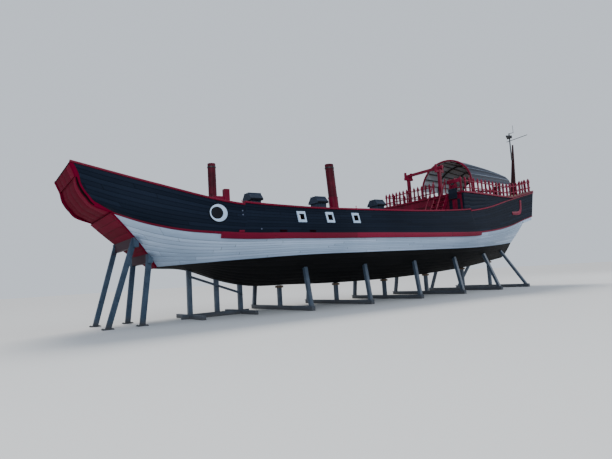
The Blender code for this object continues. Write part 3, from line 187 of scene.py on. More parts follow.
# Planks that follow the hull: the mesh keeps metres along the strake in x and the strake's number in y.
# Seam = near a whole strake number. Butt = near a whole number of plank lengths, shifted per strake.
def plankFinish(name, look, length=4.8, seamShade=0.5, streaks=0.4, gloss=0.42, nails=1.0, grain=0.5,
                shine=0.3):
    kit = Finish(name, Specular_IOR_Level=shine)
    deep, faded, worn = looks[look]
    along, strake, _ = kit.parts(kit.stored("plank"))
    cell = strake.floor()
    shift = kit.random(kit.joined(cell, 3.7, 0.0))
    run = along / length + shift
    plank = kit.random(kit.joined(cell, run.floor(), 1.3))
    seam = abs(strake.fract() - 0.5).between(*seamBand)
    butt = abs(run.fract() - 0.5).between(0.4975, 0.4992)
    fibre = kit.noise(kit.joined(along * 0.55, strake * 7.0, plank * 9.0), 2.2, 6.0, 0.62)
    place = kit.place()
    x, y, z = kit.parts(place)
    stain = kit.noise(kit.joined(x * 1.7, y * 0.4, z * 0.28), 1.1, 5.0, 0.6)
    patch = kit.noise(place, 0.35, 3.0, 0.5)
    fade = (plank * 0.45 + patch * 0.7 + fibre * grain * 0.5 - 0.25).between(0.1, 0.95)
    colour = kit.mix(deep, faded, fade)
    wear = (fibre * 0.6 + stain * 0.6).between(0.74, 0.95) * streaks
    colour = kit.mix(colour, worn, wear)
    nailRow, strakeWidth, nailStep = 0.27, 0.28, 0.46  # strakes from the middle, then two in metres
    across = abs(strake.fract() - 0.5) - nailRow
    step = abs((along / nailStep).fract() - 0.5)
    nail = 1.0 - ((across * strakeWidth) ** 2.0 + (step * nailStep) ** 2.0).between(0.00006, 0.00022)
    lines = seam.atLeast(butt)
    shade = kit.mix(colour, shaded(deep, 1.0 - seamShade), lines)
    shade = kit.mix(shade, shaded(deep, 0.6), nail * 0.35 * nails)
    height = fibre * 0.12 * grain - lines * 0.7 - nail * 0.25 * nails + plank * 0.1
    return kit.done(shade, wear * 0.3 + fibre * 0.16 + gloss - 0.08, height, 0.006)


# Painted timber with no plank map: grain runs along one axis of the object.
def timberFinish(name, look, axis="z", gloss=0.4, boards=0.0, boardAxis="y", wearAmount=0.35, grain=0.5):
    kit = Finish(name, Specular_IOR_Level=0.15)
    deep, faded, worn = looks[look]
    place = kit.place()
    stretch = {"x": (0.35, 5.0, 5.0), "y": (5.0, 0.35, 5.0), "z": (5.0, 5.0, 0.35)}[axis]
    fibre = kit.noise(kit.vector("MULTIPLY", place, stretch), 2.4, 6.0, 0.6)
    patch = kit.noise(place, 1.3, 4.0, 0.6)
    colour = kit.mix(deep, faded, (fibre * 0.55 + patch * 0.7).between(0.38, 0.86))
    wear = (patch * 0.7 + kit.noise(place, 9.0, 5.0, 0.7) * 0.55).between(0.72, 0.86) * wearAmount
    colour = kit.mix(colour, worn, wear)
    height = fibre * 0.25 * grain - wear * 0.3
    if boards:
        across = dict(zip("xyz", kit.parts(place)))[boardAxis]
        seam = abs((across / boards).fract() - 0.5).between(*seamBand)
        tone = kit.random(kit.joined((across / boards).floor(), 2.1, 0.0))
        colour = kit.mix(colour, worn, tone * 0.12)
        colour = kit.mix(colour, shaded(deep, 0.3), seam)
        height = height - seam * 0.8
    return kit.done(colour, fibre * 0.15 + wear * 0.3 + gloss - 0.06, height, 0.005)


splashHeight = 0.35  # metres above the ground to which mud splashes


# Painted steel: faint brush marks, chips down to rust, and dirt that rises from the foot. Each shaded beam is
# a place along x, half a width and the height of its top edge, and its face below that edge gets painted
# shade.
def steelFinish(name, look, chips=0.35, shine=0.45, beams=()):
    kit = Finish(name, Specular_IOR_Level=shine)
    deep, faded, _ = looks[look]
    place = kit.place()
    x, y, z = kit.parts(place)
    cloud = kit.noise(place, 2.3, 4.0, 0.55)
    fine = kit.noise(place, 17.0, 4.0, 0.6)
    colour = kit.mix(deep, faded, (cloud * 0.8 + fine * 0.3).between(0.35, 0.8))
    dirt = (1.0 - z / splashHeight).atLeast(0.0) * (0.4 + fine) * 0.8
    colour = kit.mix(colour, (0.07, 0.06, 0.05), dirt.atMost(0.7))
    chip = kit.noise(place, 5.5, 6.0, 0.72).between(0.66, 0.7) * chips
    colour = kit.mix(colour, (0.11, 0.038, 0.016), chip)
    # painted shade: each beam's face below its top edge turns the dark red of the bow plate in shadow
    for beamX, halfWidth, edge in beams:
        face = (1.0 - abs(x - beamX).between(0.3, 0.34)) * (1.0 - abs(y).between(halfWidth, halfWidth + 0.03))
        face = face * z.between(edge - 0.5, edge - 0.49) * (1.0 - z.between(edge - 0.01, edge + 0.01))
        colour = kit.mix(colour, (0.035, 0.008, 0.012), face * 0.93)
    return kit.done(colour, 0.36 + fine * 0.2 + chip * 0.3 + dirt * 0.2, fine * 0.15 - chip * 0.5, 0.003)


# Roof boards that run fore and aft, lapped, with pale edges: a painted reflection, light stripes along the
# boards.
def coverFinish(name, look):
    kit = Finish(name, Specular_IOR_Level=0.3)
    deep, faded, worn = looks[look]
    along, board, _ = kit.parts(kit.stored("plank"))
    edge = board.fract()
    tone = kit.random(kit.joined(board.floor(), 5.1, 0.0))
    streak = kit.noise(kit.joined(along * 0.7, board * 6.0, tone * 5.0), 1.8, 5.0, 0.6)
    colour = kit.mix(deep, faded, (tone * 0.55 + streak * 0.6).between(0.3, 0.85))
    # painted reflection: a pale stripe near each board's edge, in the look's third colour
    rim = edge.between(0.86, 0.97)
    colour = kit.mix(colour, worn, rim * 0.75)
    colour = kit.mix(colour, shaded(deep, 0.25), 1.0 - edge.between(0.015, 0.05))
    return kit.done(colour, 0.5 + streak * 0.25, streak * 0.3 + tone * 0.1, 0.004)


# Even paint with faint clouds, for the eyes and the boards round the gunports.
def plainFinish(name, low, high, gloss=0.4, shine=0.2):
    kit = Finish(name, Specular_IOR_Level=shine)
    place = kit.place()
    cloud = kit.noise(place, 2.5, 5.0, 0.6)
    fine = kit.noise(place, 35.0, 4.0, 0.6)
    colour = kit.mix(low, high, (cloud * 0.8 + fine * 0.25).between(0.3, 0.75))
    return kit.done(colour, gloss + fine * 0.12, fine * 0.12, 0.002)


finishes = {made.name: made for made in (
    plankFinish("blackPlanks", "blackPaint", length=5.2, streaks=0.2, gloss=0.68, seamShade=0.6,
                shine=0.08),
    plankFinish("whitePlanks", "whitePaint", length=5.2, seamShade=0.66, streaks=0.42, gloss=0.58),
    plankFinish("bottomPlanks", "darkBottom", length=5.0, streaks=0.3, gloss=0.8, shine=0.15),
    plankFinish("deckPlanks", "deckWood", length=3.6, streaks=0.6, gloss=0.7, grain=0.9),
    plankFinish("redPlanks", "plateRed", length=9.0, streaks=0.1, gloss=0.72, seamShade=0.25,
                nails=0.4, shine=0.04),
    plankFinish("cheekRed", "redPaint", length=7.0, streaks=0.12, gloss=0.8, nails=0.0, shine=0.0),
    plankFinish("redStrip", "redPaint", length=7.0, streaks=0.12, gloss=0.55, nails=0.0, shine=0.15),
    timberFinish("redTimber", "redPaint", "x", gloss=0.5),
    timberFinish("redPosts", "redPaint", "z", wearAmount=0.25, gloss=0.5),
    timberFinish("redBoards", "redPaint", "z", boards=0.24, boardAxis="y", gloss=0.5),
    timberFinish("blackBoards", "blackPaint", "y", boards=0.22, boardAxis="z", gloss=0.6),
    timberFinish("mastTimber", "mastWood", "z", wearAmount=0.7, gloss=0.55, grain=1.0),
    timberFinish("mizzenTimber", "mizzenWood", "z", wearAmount=0.5, gloss=0.6, grain=1.0),
    timberFinish("doorBoards", "mastWood", "z", boards=0.155, boardAxis="y", gloss=0.5),
    timberFinish("wallBoards", "slateRoof", "z", boards=0.14, boardAxis="x", gloss=0.6),
    timberFinish("tillerWood", "redPaint", "x", wearAmount=0.6, gloss=0.5),
    coverFinish("awningBoards", "awningSlate"),
    # painted light: lit copy of the cover for its inside
    coverFinish("awningLining", "liningGrey"),
    timberFinish("battenPaint", "battenGrey", "x", gloss=0.5),
    timberFinish("packingTimber", "deckWood", "x", gloss=0.7, grain=1.0),
    timberFinish("roofBoards", "slateRoof", "x", boards=0.15, boardAxis="y", gloss=0.5),
    steelFinish("cradleSteel", "cradlePaint"),
    # the bow props' beams carry painted shade on their faces
    steelFinish("propSteel", "cradlePaint", shine=0.04, beams=((12.6, 1.33, 3.5), (11.97, 1.02, 2.87))),
    steelFinish("blackIron", "ironPaint", chips=0.6),
    plainFinish("eyeWhite", (0.4, 0.53, 0.72), (0.58, 0.72, 0.9)),
    plainFinish("eyeBlack", (0.0015, 0.002, 0.004), (0.004, 0.005, 0.009), 0.6),
    plainFinish("portWhite", (0.36, 0.49, 0.66), (0.54, 0.68, 0.85), 0.5),
    # portDark: near-black painted shade in the gunports, the scuppers and beside the cheeks, and the dark
    # coping
    plainFinish("portDark", (0.003, 0.0015, 0.002), (0.02, 0.003, 0.006), 0.7, shine=0.02),
    plainFinish("paleFittings", (0.35, 0.2, 0.22), (0.7, 0.42, 0.45), 0.5),
    plainFinish("plateGrey", (0.07, 0.085, 0.13), (0.16, 0.18, 0.25), 0.5),
)}
print("finishes made:", len(finishes))


# Meshes from arrays


# Quads between neighbours in the last two directions of an array of point numbers.
def quadsOf(index):
    corners = index[..., :-1, :-1], index[..., 1:, :-1], index[..., 1:, 1:], index[..., :-1, 1:]
    return np.stack(corners, -1).reshape(-1, 4)


# A grid of points, u first and v second, with its quads, and flat ends if asked.
def gridChunk(points, closeV=False, ends=False, plank=None):
    nu, nv = points.shape[:2]
    index = np.arange(nu * nv).reshape(nu, nv)
    faces = [quadsOf(np.hstack([index, index[:, :1]]) if closeV else index)]
    if ends:
        faces += [index[:1], index[-1:, ::-1]]
    return {"co": points.reshape(-1, 3), "faces": faces, "plank": plank}


# Quads that close the two ends of a wall whose ring runs up the outside and down the inside.
def wallEnds(points, chunk):
    nu, nv = points.shape[:2]
    k = np.arange(nv // 2 - 1)
    for row in (0, nu - 1):
        chunk["faces"].append(np.stack([k, k + 1, nv - 2 - k, nv - 1 - k], -1) + row * nv)
    return chunk


# Wall of planks: at each place along s a ring up the outer rows and down the inner ones.
def shell(outer, inner, s, rows, hand=1, innerRows=None):
    ring = mirrored(np.concatenate([outer, inner[:, ::-1]], 1), hand)
    both = np.concatenate([rows, (rows if innerRows is None else innerRows)[::-1]])
    return wallEnds(ring, gridChunk(ring, closeV=True, plank=plankMap(s, both)))


# Faces on the points of the chunk just before, in the second paint of the piece.
def secondPaint(chunk, faces):
    return {"co": chunk["co"][:0], "faces": [face - len(chunk["co"]) for face in faces], "paint": 1}


# Many equal rings carried along many paths. A point is its path's point, and the profile's x times across
# and y times up, both scaled.
def sweep(paths, across, up, profile, scales=1.0, closed=False):
    paths = np.asarray(paths, float)
    count, stops = paths.shape[:2]
    scales = np.broadcast_to(np.asarray(scales, float), (count, stops))[..., None, None]
    across, up = (np.broadcast_to(way, paths.shape)[:, :, None] for way in (across, up))
    rings = paths[:, :, None] + (across * profile[:, :1] + up * profile[:, 1:]) * scales
    sides = len(profile)
    index = np.arange(count * stops * sides).reshape(count, stops, sides)
    wide = np.concatenate([index, index[:, :, :1]], 2)
    if closed:
        wide = np.concatenate([wide, wide[:, :1]], 1)
    faces = [quadsOf(wide)]
    if not closed:
        faces += [index[:, 0], index[:, -1, ::-1]]
    return {"co": rings.reshape(-1, 3), "faces": faces}


def unit(vectors):
    vectors = np.asarray(vectors, float)
    return vectors / np.linalg.norm(vectors, axis=-1, keepdims=True)


# Corners of a rectangle with cut corners: x and y of each.
def softRect(width, height, cut):
    a, b = width / 2, height / 2
    return np.array([(a - cut, -b), (a, -b + cut), (a, b - cut), (a - cut, b),
                     (-a + cut, b), (-a, b - cut), (-a, -b + cut), (-a + cut, -b)])


def circle(sides):
    angles = 2 * np.pi * np.arange(sides) / sides
    return np.stack([np.cos(angles), np.sin(angles)], -1)


# Two directions square to each direction, the first one level where it can be.
def sideways(directions):
    directions = unit(directions)
    upright = np.abs(directions[..., 2:]) > 0.95
    guide = np.where(upright, (0.0, 1.0, 0.0), (0.0, 0.0, 1.0))
    across = unit(np.cross(directions, guide))
    return across, np.cross(across, directions)


def rows3(points):
    return np.atleast_2d(np.asarray(points, float))


# Straight timbers with softened edges: a rectangle carried from each start to each end.
def bars(starts, ends, width, height, cut=0.008):
    starts, ends = rows3(starts), rows3(ends)
    run = ends - starts
    reach = np.linalg.norm(run, axis=1)[:, None]
    direction = run / reach
    across, up = sideways(direction)
    stops = np.concatenate([0 * reach, 0 * reach + cut, reach - cut, reach], 1)
    paths = starts[:, None] + direction[:, None] * stops[..., None]
    shrink = 1 - 2 * cut / min(width, height)
    scales = (shrink, 1.0, 1.0, shrink)
    return sweep(paths, across[:, None], up[:, None], softRect(width, height, cut), scales)


# Round bodies: each row of the profile is a distance along the axis and a radius.
def turned(centres, directions, profile, sides=24):
    centres, profile = rows3(centres), np.asarray(profile, float)
    directions = np.broadcast_to(unit(rows3(directions)), centres.shape)
    across, up = sideways(directions)
    paths = centres[:, None] + directions[:, None] * profile[None, :, :1]
    return sweep(paths, across[:, None], up[:, None], circle(sides), profile[None, :, 1])


# Low domed heads of bolts and nails.
def domes(centres, directions, radius, height, sides=8):
    rows = [(-1.0, 1.0), (0.45, 1.0), (0.85, 0.7), (1.0, 0.25)]
    return turned(centres, directions, [(height * up, radius * out) for up, out in rows], sides)


# Put chunks of points and faces in one mesh, facing out, with sharp creases kept.
def piece(name, chunks, paints, body="root", replaces=(), smooth=True, crease=38.0):
    chunks = chunks if isinstance(chunks, list) else [chunks]
    counts = np.cumsum([0] + [len(chunk["co"]) for chunk in chunks])
    co = np.concatenate([chunk["co"] for chunk in chunks])
    faces = [face + start for chunk, start in zip(chunks, counts) for face in chunk["faces"]]
    paint = [np.full(len(face), chunk.get("paint", 0)) for chunk in chunks for face in chunk["faces"]]
    sizes = np.concatenate([np.full(len(face), face.shape[1]) for face in faces])
    mesh = bpy.data.meshes.new(name)
    mesh.vertices.add(len(co))
    mesh.vertices.foreach_set("co", co.astype(np.float32).ravel())
    mesh.loops.add(int(sizes.sum()))
    mesh.loops.foreach_set("vertex_index", np.concatenate([face.ravel() for face in faces]).astype(np.int32))
    mesh.polygons.add(len(sizes))
    mesh.polygons.foreach_set("loop_start", (np.cumsum(sizes) - sizes).astype(np.int32))
    mesh.polygons.foreach_set("material_index", np.concatenate(paint).astype(np.int32))
    mesh.update(calc_edges=True)
    planks = [chunk.get("plank") for chunk in chunks]
    if any(plank is not None for plank in planks):
        kept = [np.zeros_like(chunk["co"]) if plank is None else plank.reshape(-1, 3)
                for chunk, plank in zip(chunks, planks)]
        layer = mesh.attributes.new("plank", "FLOAT_VECTOR", "POINT")
        layer.data.foreach_set("vector", np.concatenate(kept).astype(np.float32).ravel())
    return dress(name, mesh, paints, body, replaces, smooth, crease)


# Mend a mesh: weld its doubles, join its flat triangles, or turn its faces out.
def mend(source, target, weld=False, flat=False, outward=False):
    work = bmesh.new()
    work.from_mesh(source)
    if weld:
        bmesh.ops.remove_doubles(work, verts=work.verts, dist=0.00005)
    if flat:
        bmesh.ops.dissolve_limit(work, angle_limit=math.radians(0.5), verts=work.verts, edges=work.edges)
    if outward:
        bmesh.ops.recalc_face_normals(work, faces=work.faces)
    work.to_mesh(target)
    work.free()


def merge(made):  # close the seam of a ring whose first row is repeated
    mend(made.data, made.data, weld=True, outward=True)


def placed(name, data):
    made = bpy.data.objects.new(name, data)
    bpy.context.scene.collection.objects.link(made)
    return made


def dress(name, mesh, paints, body, replaces=(), smooth=True, crease=38.0):
    mend(mesh, mesh, outward=True)
    paints = [paints] if isinstance(paints, str) else paints
    for paint in paints:
        mesh.materials.append(finishes[paint])
    if smooth:
        mesh.shade_smooth()
        mesh.set_sharp_from_angle(angle=math.radians(crease))
    made = placed(name, mesh)
    if replaces:
        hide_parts(replaces)
    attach(made, body)
    return made


# Cut a mesh with chunks that stay hidden, and keep the result as plain mesh.
def carve(made, chunks):
    cutter = piece(made.name + "Cutter", chunks, "portDark", smooth=False)
    step = made.modifiers.new("cut", "BOOLEAN")
    step.operation, step.solver, step.object = "DIFFERENCE", "EXACT", cutter
    bpy.context.view_layer.update()
    result = bpy.data.meshes.new_from_object(made.evaluated_get(bpy.context.evaluated_depsgraph_get()))
    made.modifiers.clear()
    made.data = result
    bpy.data.objects.remove(cutter)


def easeEdges(made, width, angle):
    bevel = made.modifiers.new("softEdges", "BEVEL")
    bevel.width, bevel.segments = width, 2
    bevel.limit_method, bevel.angle_limit = "ANGLE", math.radians(angle)


# Copy of a CAD piece with its loose triangles merged and its edges softened.
def softened(node, paints, cut=0.008):
    mesh = bpy.data.meshes.new(node + "Soft")
    mend(nodes[node].data, mesh, weld=True, flat=True)
    first, *others = node.split("_")
    name = first + "".join(word.capitalize() for word in others) + "Dressed"
    made = dress(name, mesh, paints, bodyOf[node], node, crease=30.0)
    easeEdges(made, cut, 35)
    return made


# Lines of the hull, from bow to stern: shares of half the length, half the beam and the depth

hull = {
    "halfLength": 15.0, "halfBeam": 3.8, "depth": 5.1, "keelHeight": 1.2, "fairingX": 9.8, "transomX": -13.6,
    "wall": 0.12, "bellyBow": 0.27, "belly": 0.08, "stripeHeight": 0.08, "stripeProud": 0.03,
    "waleForeX": 9.77, "waleAftX": -6.7, "waleHeight": 0.24, "waleProud": 0.12, "wingDrop": 0.2,
    "cap": 0.08, "capLip": 0.05, "stepForeX": 8.7, "stepAftX": -6.3, "step": 0.1,
    "bowFullness": 0.4, "cheekWidth": 0.24, "cheekDepth": 0.12, "gap": 0.0003, "clear": 0.015,
    "poopX": -5.7, "poopZ": 5.9, "poopDeck": 0.1, "deckLip": 0.06, "spacing": 0.15,
}
railLine = np.array([
    (1.0, 0.539, 1.0), (0.807, 0.763, 0.831), (0.627, 0.882, 0.706), (0.407, 0.921, 0.661),
    (0.133, 0.921, 0.661), (-0.2, 0.908, 0.678), (-0.427, 0.858, 0.722), (-0.547, 0.808, 0.771),
    (-0.733, 0.711, 0.888), (-1.0, 0.587, 1.049)])
stripeLine = np.array([
    (0.904, 0.5, 0.637), (0.853, 0.645, 0.567), (0.78, 0.782, 0.502), (0.653, 0.913, 0.455),
    (0.42, 1.0, 0.441), (0.093, 1.0, 0.443), (-0.2, 0.982, 0.447), (-0.447, 0.926, 0.465),
    (-0.7, 0.763, 0.549), (-0.907, 0.597, 0.671), (-1.0, 0.526, 0.725)])
chineLine = np.array([
    (0.764, 0.132, 0.224), (0.677, 0.526, 0.231), (0.527, 0.789, 0.246), (0.407, 0.895, 0.257),
    (0.177, 0.939, 0.265), (-0.207, 0.895, 0.275), (-0.467, 0.776, 0.29), (-0.7, 0.553, 0.324),
    (-0.907, 0.263, 0.363)])
keelLine = np.array([
    (0.764, 0.039, 0.216), (0.66, 0.039, 0.186), (0.573, 0.039, 0.09), (0.487, 0.039, 0.027),
    (0.3, 0.039, 0.0), (-0.333, 0.039, 0.01), (-0.667, 0.039, 0.078), (-0.907, 0.039, 0.167)])
deckLine = np.array([
    (0.967, 0.0, 0.784), (0.733, 0.0, 0.627), (0.58, 0.0, 0.545), (0.0, 0.0, 0.529),
    (-0.533, 0.0, 0.539), (-0.907, 0.0, 0.702)])
bowLine = np.array([
    (0.904, 0.637), (0.937, 0.671), (0.965, 0.747), (0.981, 0.824),
    (0.988, 0.908), (1.0, 1.0)])
bowShares = (bowLine[:, 1] - bowLine[0, 1]) / (bowLine[-1, 1] - bowLine[0, 1])
bowX = bowLine[:, 0] * hull["halfLength"]
cheekRake = 1 - hull["cheekDepth"] / (hull["halfLength"] - hull["fairingX"])
bowEnd = np.array([hull["halfLength"]])
bowRake = 0.86  # ahead of this frame the planks bend into the cheek's aft face


# Smooth curve through rows: a cubic between neighbours, with slopes from the rows on both sides.
def smoothCurve(xs, values, at):
    slopes = np.gradient(values, xs)
    k = np.clip(np.searchsorted(xs, at) - 1, 0, len(xs) - 2)
    step = xs[k + 1] - xs[k]
    t = np.clip((at - xs[k]) / step, 0, 1)
    ends = values[k] * (1 + 2 * t) * (1 - t) ** 2 + values[k + 1] * t * t * (3 - 2 * t)
    return ends + step * (slopes[k] * t * (1 - t) ** 2 - slopes[k + 1] * t * t * (1 - t))


def fair(line, column, share):
    return smoothCurve(line[::-1, 0], line[::-1, column], share)


# A place along the hull is one number: x as far as the fairing, then on to half the length at the raked bow.
def rakeOf(s):
    return np.clip((s - hull["fairingX"]) / (hull["halfLength"] - hull["fairingX"]), 0, 1)


def onLine(line, s):
    rake = rakeOf(s)
    x = np.minimum(s, hull["fairingX"]) + rake * (line[0, 0] * hull["halfLength"] - hull["fairingX"])
    share = x / hull["halfLength"]
    y, z = fair(line, 1, share) * hull["halfBeam"], fair(line, 2, share) * hull["depth"] + hull["keelHeight"]
    return np.stack([x, y, z], -1)


def railPoint(s):
    point = onLine(railLine, s)
    raised = (point[..., 0] > hull["stepAftX"]) & (point[..., 0] < hull["stepForeX"])
    point[..., 2] += raised * hull["step"] - hull["cap"]
    return point


def thickHere(x):
    return (x >= hull["waleAftX"]) & (x <= hull["waleForeX"])


# White side: a straight line from the chine at 0 to the stripe at 1, swollen by a belly of 4 s (1 - s).
def sidePoint(s, share):
    low, high = onLine(chineLine, s)[:, None], onLine(stripeLine, s)[:, None]
    share = np.broadcast_to(share, (len(s), np.shape(share)[-1]))
    point = low + share[..., None] * (high - low)
    belly = hull["belly"] + rakeOf(s)[:, None] * (hull["bellyBow"] - hull["belly"])
    point[..., 1] += belly * 4 * share * (1 - share)
    return point


def waleFoot(s):  # share of the side at which the wale or stripe starts
    low, high = onLine(chineLine, s), onLine(stripeLine, s)
    height = np.where(thickHere(high[:, 0]), hull["waleHeight"], hull["stripeHeight"])
    return 1 - height / (high[:, 2] - low[:, 2])


# Bow's profile at shares of its height, moved inwards square to itself.
def bowProfile(share, inset):
    knots = np.linspace(0, 1, 201)
    x = smoothCurve(bowShares, bowX, knots)
    low, high = onLine(stripeLine, bowEnd)[0, 2], railPoint(bowEnd)[0, 2]
    z = low + knots * (high - low)
    dx, dz = np.gradient(x), np.gradient(z)
    reach = np.hypot(dx, dz)
    x, z, dx, dz = (np.interp(share, knots, row) for row in (x, z, dx / reach, dz / reach))
    return np.stack([x - inset * dz, z + inset * dx], -1)


# Black topside: a straight line from stripe to rail, pushed forward by the bow's bulge, then bent to the bow.
def upperPoint(s, share):
    low, high = onLine(stripeLine, s)[:, None], railPoint(s)[:, None]
    share = np.broadcast_to(share, (len(s), np.shape(share)[-1]))
    rake = rakeOf(s)[:, None]
    point = low + share[..., None] * (high - low)
    bulge = smoothCurve(bowShares, bowX, share) - (bowX[0] + share * (bowX[-1] - bowX[0]))
    point[..., 0] += bulge * hull["bowFullness"] * np.minimum(rake, bowRake)
    fore = rakeOf(s) > bowRake
    if fore.any():
        span = hull["halfLength"] - hull["fairingX"]
        base = upperPoint(np.full(1, hull["fairingX"] + bowRake * span), share[:1])[0]
        ends = np.array([hull["fairingX"] + cheekRake * span])
        row = share[0]
        inset, front = bowProfile(row, hull["cheekDepth"]), bowProfile(row, 0.0)
        corner = bowProfile(np.array([0.0, 1.0]), hull["cheekDepth"])
        foot = np.clip(1 - row / bowShares[1], 0, 1)[:, None]
        head = np.clip((row - bowShares[-2]) / (1 - bowShares[-2]), 0, 1)[:, None]
        inset += foot * (onLine(stripeLine, ends)[:, ::2] - corner[:1])
        inset += head * (railPoint(ends)[:, ::2] - corner[1:])
        t = ((rake[fore] - bowRake) / (cheekRake - bowRake))[..., None]
        u = ((rake[fore] - cheekRake) / (1 - cheekRake))[..., None]
        bent = np.where(t < 1, base[None, :, ::2] * (1 - t) + inset * t, inset * (1 - u) + front * u)
        point[fore, :, 0], point[fore, :, 2] = bent[..., 0], bent[..., 1]
    return point


def heightOn(line, x):
    return hull["keelHeight"] + fair(line, 2, x / hull["halfLength"]) * hull["depth"]


def deckPoint(s):
    low, high = onLine(stripeLine, s), railPoint(s)
    z = heightOn(deckLine, (low[:, 0] + high[:, 0]) / 2)
    share = (z - low[:, 2]) / (high[:, 2] - low[:, 2])
    point = low + share[:, None] * (high - low)
    rows = np.linspace(0, 1, 60)
    grid = upperPoint(s, rows[None])
    for k in np.nonzero(rakeOf(s) > 0)[0]:
        point[k, :2] = [np.interp(z[k], grid[k, :, 2], grid[k, :, axis]) for axis in (0, 1)]
    point[:, 2] = z
    return point


def wallY(x, z):
    s = np.atleast_1d(np.asarray(x, float))
    low, high = onLine(stripeLine, s), railPoint(s)
    t = np.clip((z - low[:, 2]) / (high[:, 2] - low[:, 2]), 0, 1)
    return low[:, 1] + t * (high[:, 1] - low[:, 1])


# Points of a strip on the planking: their places along and up, and how far they stand off it.
def onWall(x, z, out, hand):
    y = wallY(x.ravel(), z.ravel()).reshape(x.shape) + out
    return mirrored(np.stack([x, y, z], -1), hand)


def poopUnder(s):
    return np.maximum(hull["poopZ"], railPoint(s)[:, 2] + hull["cap"] + 0.02)


def poopTop(x):
    knots = np.array([-15.0, -14.3, -13.6, -12.5, -11.4, -10.2, -9.0, -7.8, -6.73, -6.7, -6.32, -6.28, -5.7])
    return np.interp(x, knots, poopUnder(knots) + hull["poopDeck"])


# Places along the hull between two ends, close together, and exactly at each step in the rail and the wale.
def places(start, end):
    stops = np.array([8.72, 8.68, -6.28, -6.32, 9.8, 9.77, -6.7, -6.73, -13.6, 14.88, 14.272])
    even = np.linspace(start, end, int(abs(start - end) / hull["spacing"]) + 1)
    low, high = min(start, end), max(start, end)
    return np.unique(np.round(np.concatenate([even, stops[(stops > low) & (stops < high)]]), 5))[::-1]


# Rows across strakes: four to each strake, with how deep the seam is and the strake's number at each.
def strakes(count, seam=0.006, crown=0.003):
    slope = 0.035  # share of a strake beside each seam
    rows = (np.arange(count)[:, None] + np.array([0.0, slope, 0.5, 1 - slope])).ravel()
    rows = np.append(rows, count)
    offset = np.append(np.tile([-seam, 0.0, crown, 0.0], count), -seam)
    return rows, offset


def mirrored(points, hand):
    return points * np.array([1.0, hand, 1.0])


def plankMap(s, rows):
    along = np.broadcast_to(s[:, None], (len(s), len(rows)))
    strake = np.broadcast_to(rows + 0.0001, along.shape)
    return np.stack([along, strake, 0 * along], -1)


sideNames = (("port", "Port", 1), ("starboard", "Starboard", -1))


# Hull

# lining: depth of the near-black sleeve of painted shade inside each gunport
topsideValues = {"strakes": 9, "portX": (6.05, 4.5, 2.95), "portZ": 4.17, "hole": 0.26, "board": 0.5,
                 "wide": 0.43, "proud": 0.045, "lining": 0.28}


# Black planking up to the rail, cut through at the gunports.
def topsides():
    v = topsideValues
    rows, offset = strakes(v["strakes"], 0.007, 0.004)
    s = places(14.8795, -15.0)
    outer = upperPoint(s, rows[None] / v["strakes"])
    inner = outer - (0, hull["wall"], 0)
    outer[..., 1] += offset
    outer[:, 0, 2] += hull["gap"]
    size = v["hole"] - 0.008
    for side, label, hand in sideNames:
        wall = piece("topside" + label, shell(outer, inner, s, rows, hand), "blackPlanks",
                     replaces="topside_" + side)
        centres = np.array([(x, hand * 3.5, v["portZ"]) for x in v["portX"]])
        carve(wall, bars(centres - (0, 0.6, 0), centres + (0, 0.6, 0), size, size, 0.002))


# Square frame round each gunport: a rounded strip carried round four mitred corners, with a dark lining: a
# sleeve of painted shade that hides the lit deck seen through the hole.
def gunportFrames():
    v = topsideValues
    half, hole, proud, deep = v["board"] / 2, v["hole"] / 2, v["proud"], v["lining"]
    profile = np.array([(hole, -deep), (hole, proud - 0.008), (hole + 0.008, proud), (half - 0.01, proud),
                        (half, proud - 0.01), (half, -0.02), (hole + 0.03, -0.02), (hole + 0.03, -deep)])
    corners = np.array([(1, 1), (-1, 1), (-1, -1), (1, -1)])
    flat = corners[:, None] * profile[None, :, :1]
    slim = np.where(profile[:, 0] > hole + 0.05, half - v["wide"] / 2, 0.0)
    for _, label, hand in sideNames:
        frames = []
        for x in v["portX"]:
            px, pz = x + flat[..., 0] - corners[:, :1] * slim, v["portZ"] + flat[..., 1]
            ring = onWall(px, pz, profile[None, :, 1], hand)
            chunk = gridChunk(np.concatenate([ring, ring[:1]]), closeV=True)
            quads = chunk["faces"][0].reshape(len(corners), len(profile), 4)
            frames.append({**chunk, "faces": [quads[:, 1:6].reshape(-1, 4)]})
            # painted shade: the hole's faces and the sleeve behind them are near-black
            frames.append(secondPaint(chunk, [quads[:, [0, 6, 7]].reshape(-1, 4)]))
        merge(piece("gunportFrames" + label, frames, ["portWhite", "portDark"], crease=30))


# White side: strakes from the chine to the wale on both sides of one body, and the strips under the quarter.
# The strakes run as if the wale went from end to end, and only the top one reaches up to the thin stripe.
def whiteSide():
    count = 8
    rows, offset = strakes(count, 0.008, 0.005)
    s = places(15.0, hull["transomX"])
    even = 1 - hull["waleHeight"] / (onLine(stripeLine, s) - onLine(chineLine, s))[:, 2:]
    last = np.clip(rows[None] - (count - 1), 0, 1)
    top = (1 - 1 / count) * even * (1 - last) + waleFoot(s)[:, None] * last
    half = sidePoint(s, np.where(last == 0, rows[None] / count * even, top))
    half[..., 1] += offset
    half[:, 0, 2] += hull["gap"]
    chunks = [shell(mirrored(half, -1), half, s, rows)]
    s = np.linspace(-13.3, -14.9, 24)
    depth = np.interp(s, (-14.9, -13.6, -13.3), (1.0, 1.0, 0.6))[:, None] * hull["wingDrop"]
    level = np.linspace(0, 1, 5)
    outer = np.repeat(sidePoint(s, waleFoot(s)[:, None]), len(level), 1)
    outer[..., 2] -= depth * level
    chunks += [shell(outer, outer - (0, hull["wall"], 0), s, level * 2, hand) for _, _, hand in sideNames]
    piece("whiteSide", chunks, "whitePlanks", replaces="hull_side")


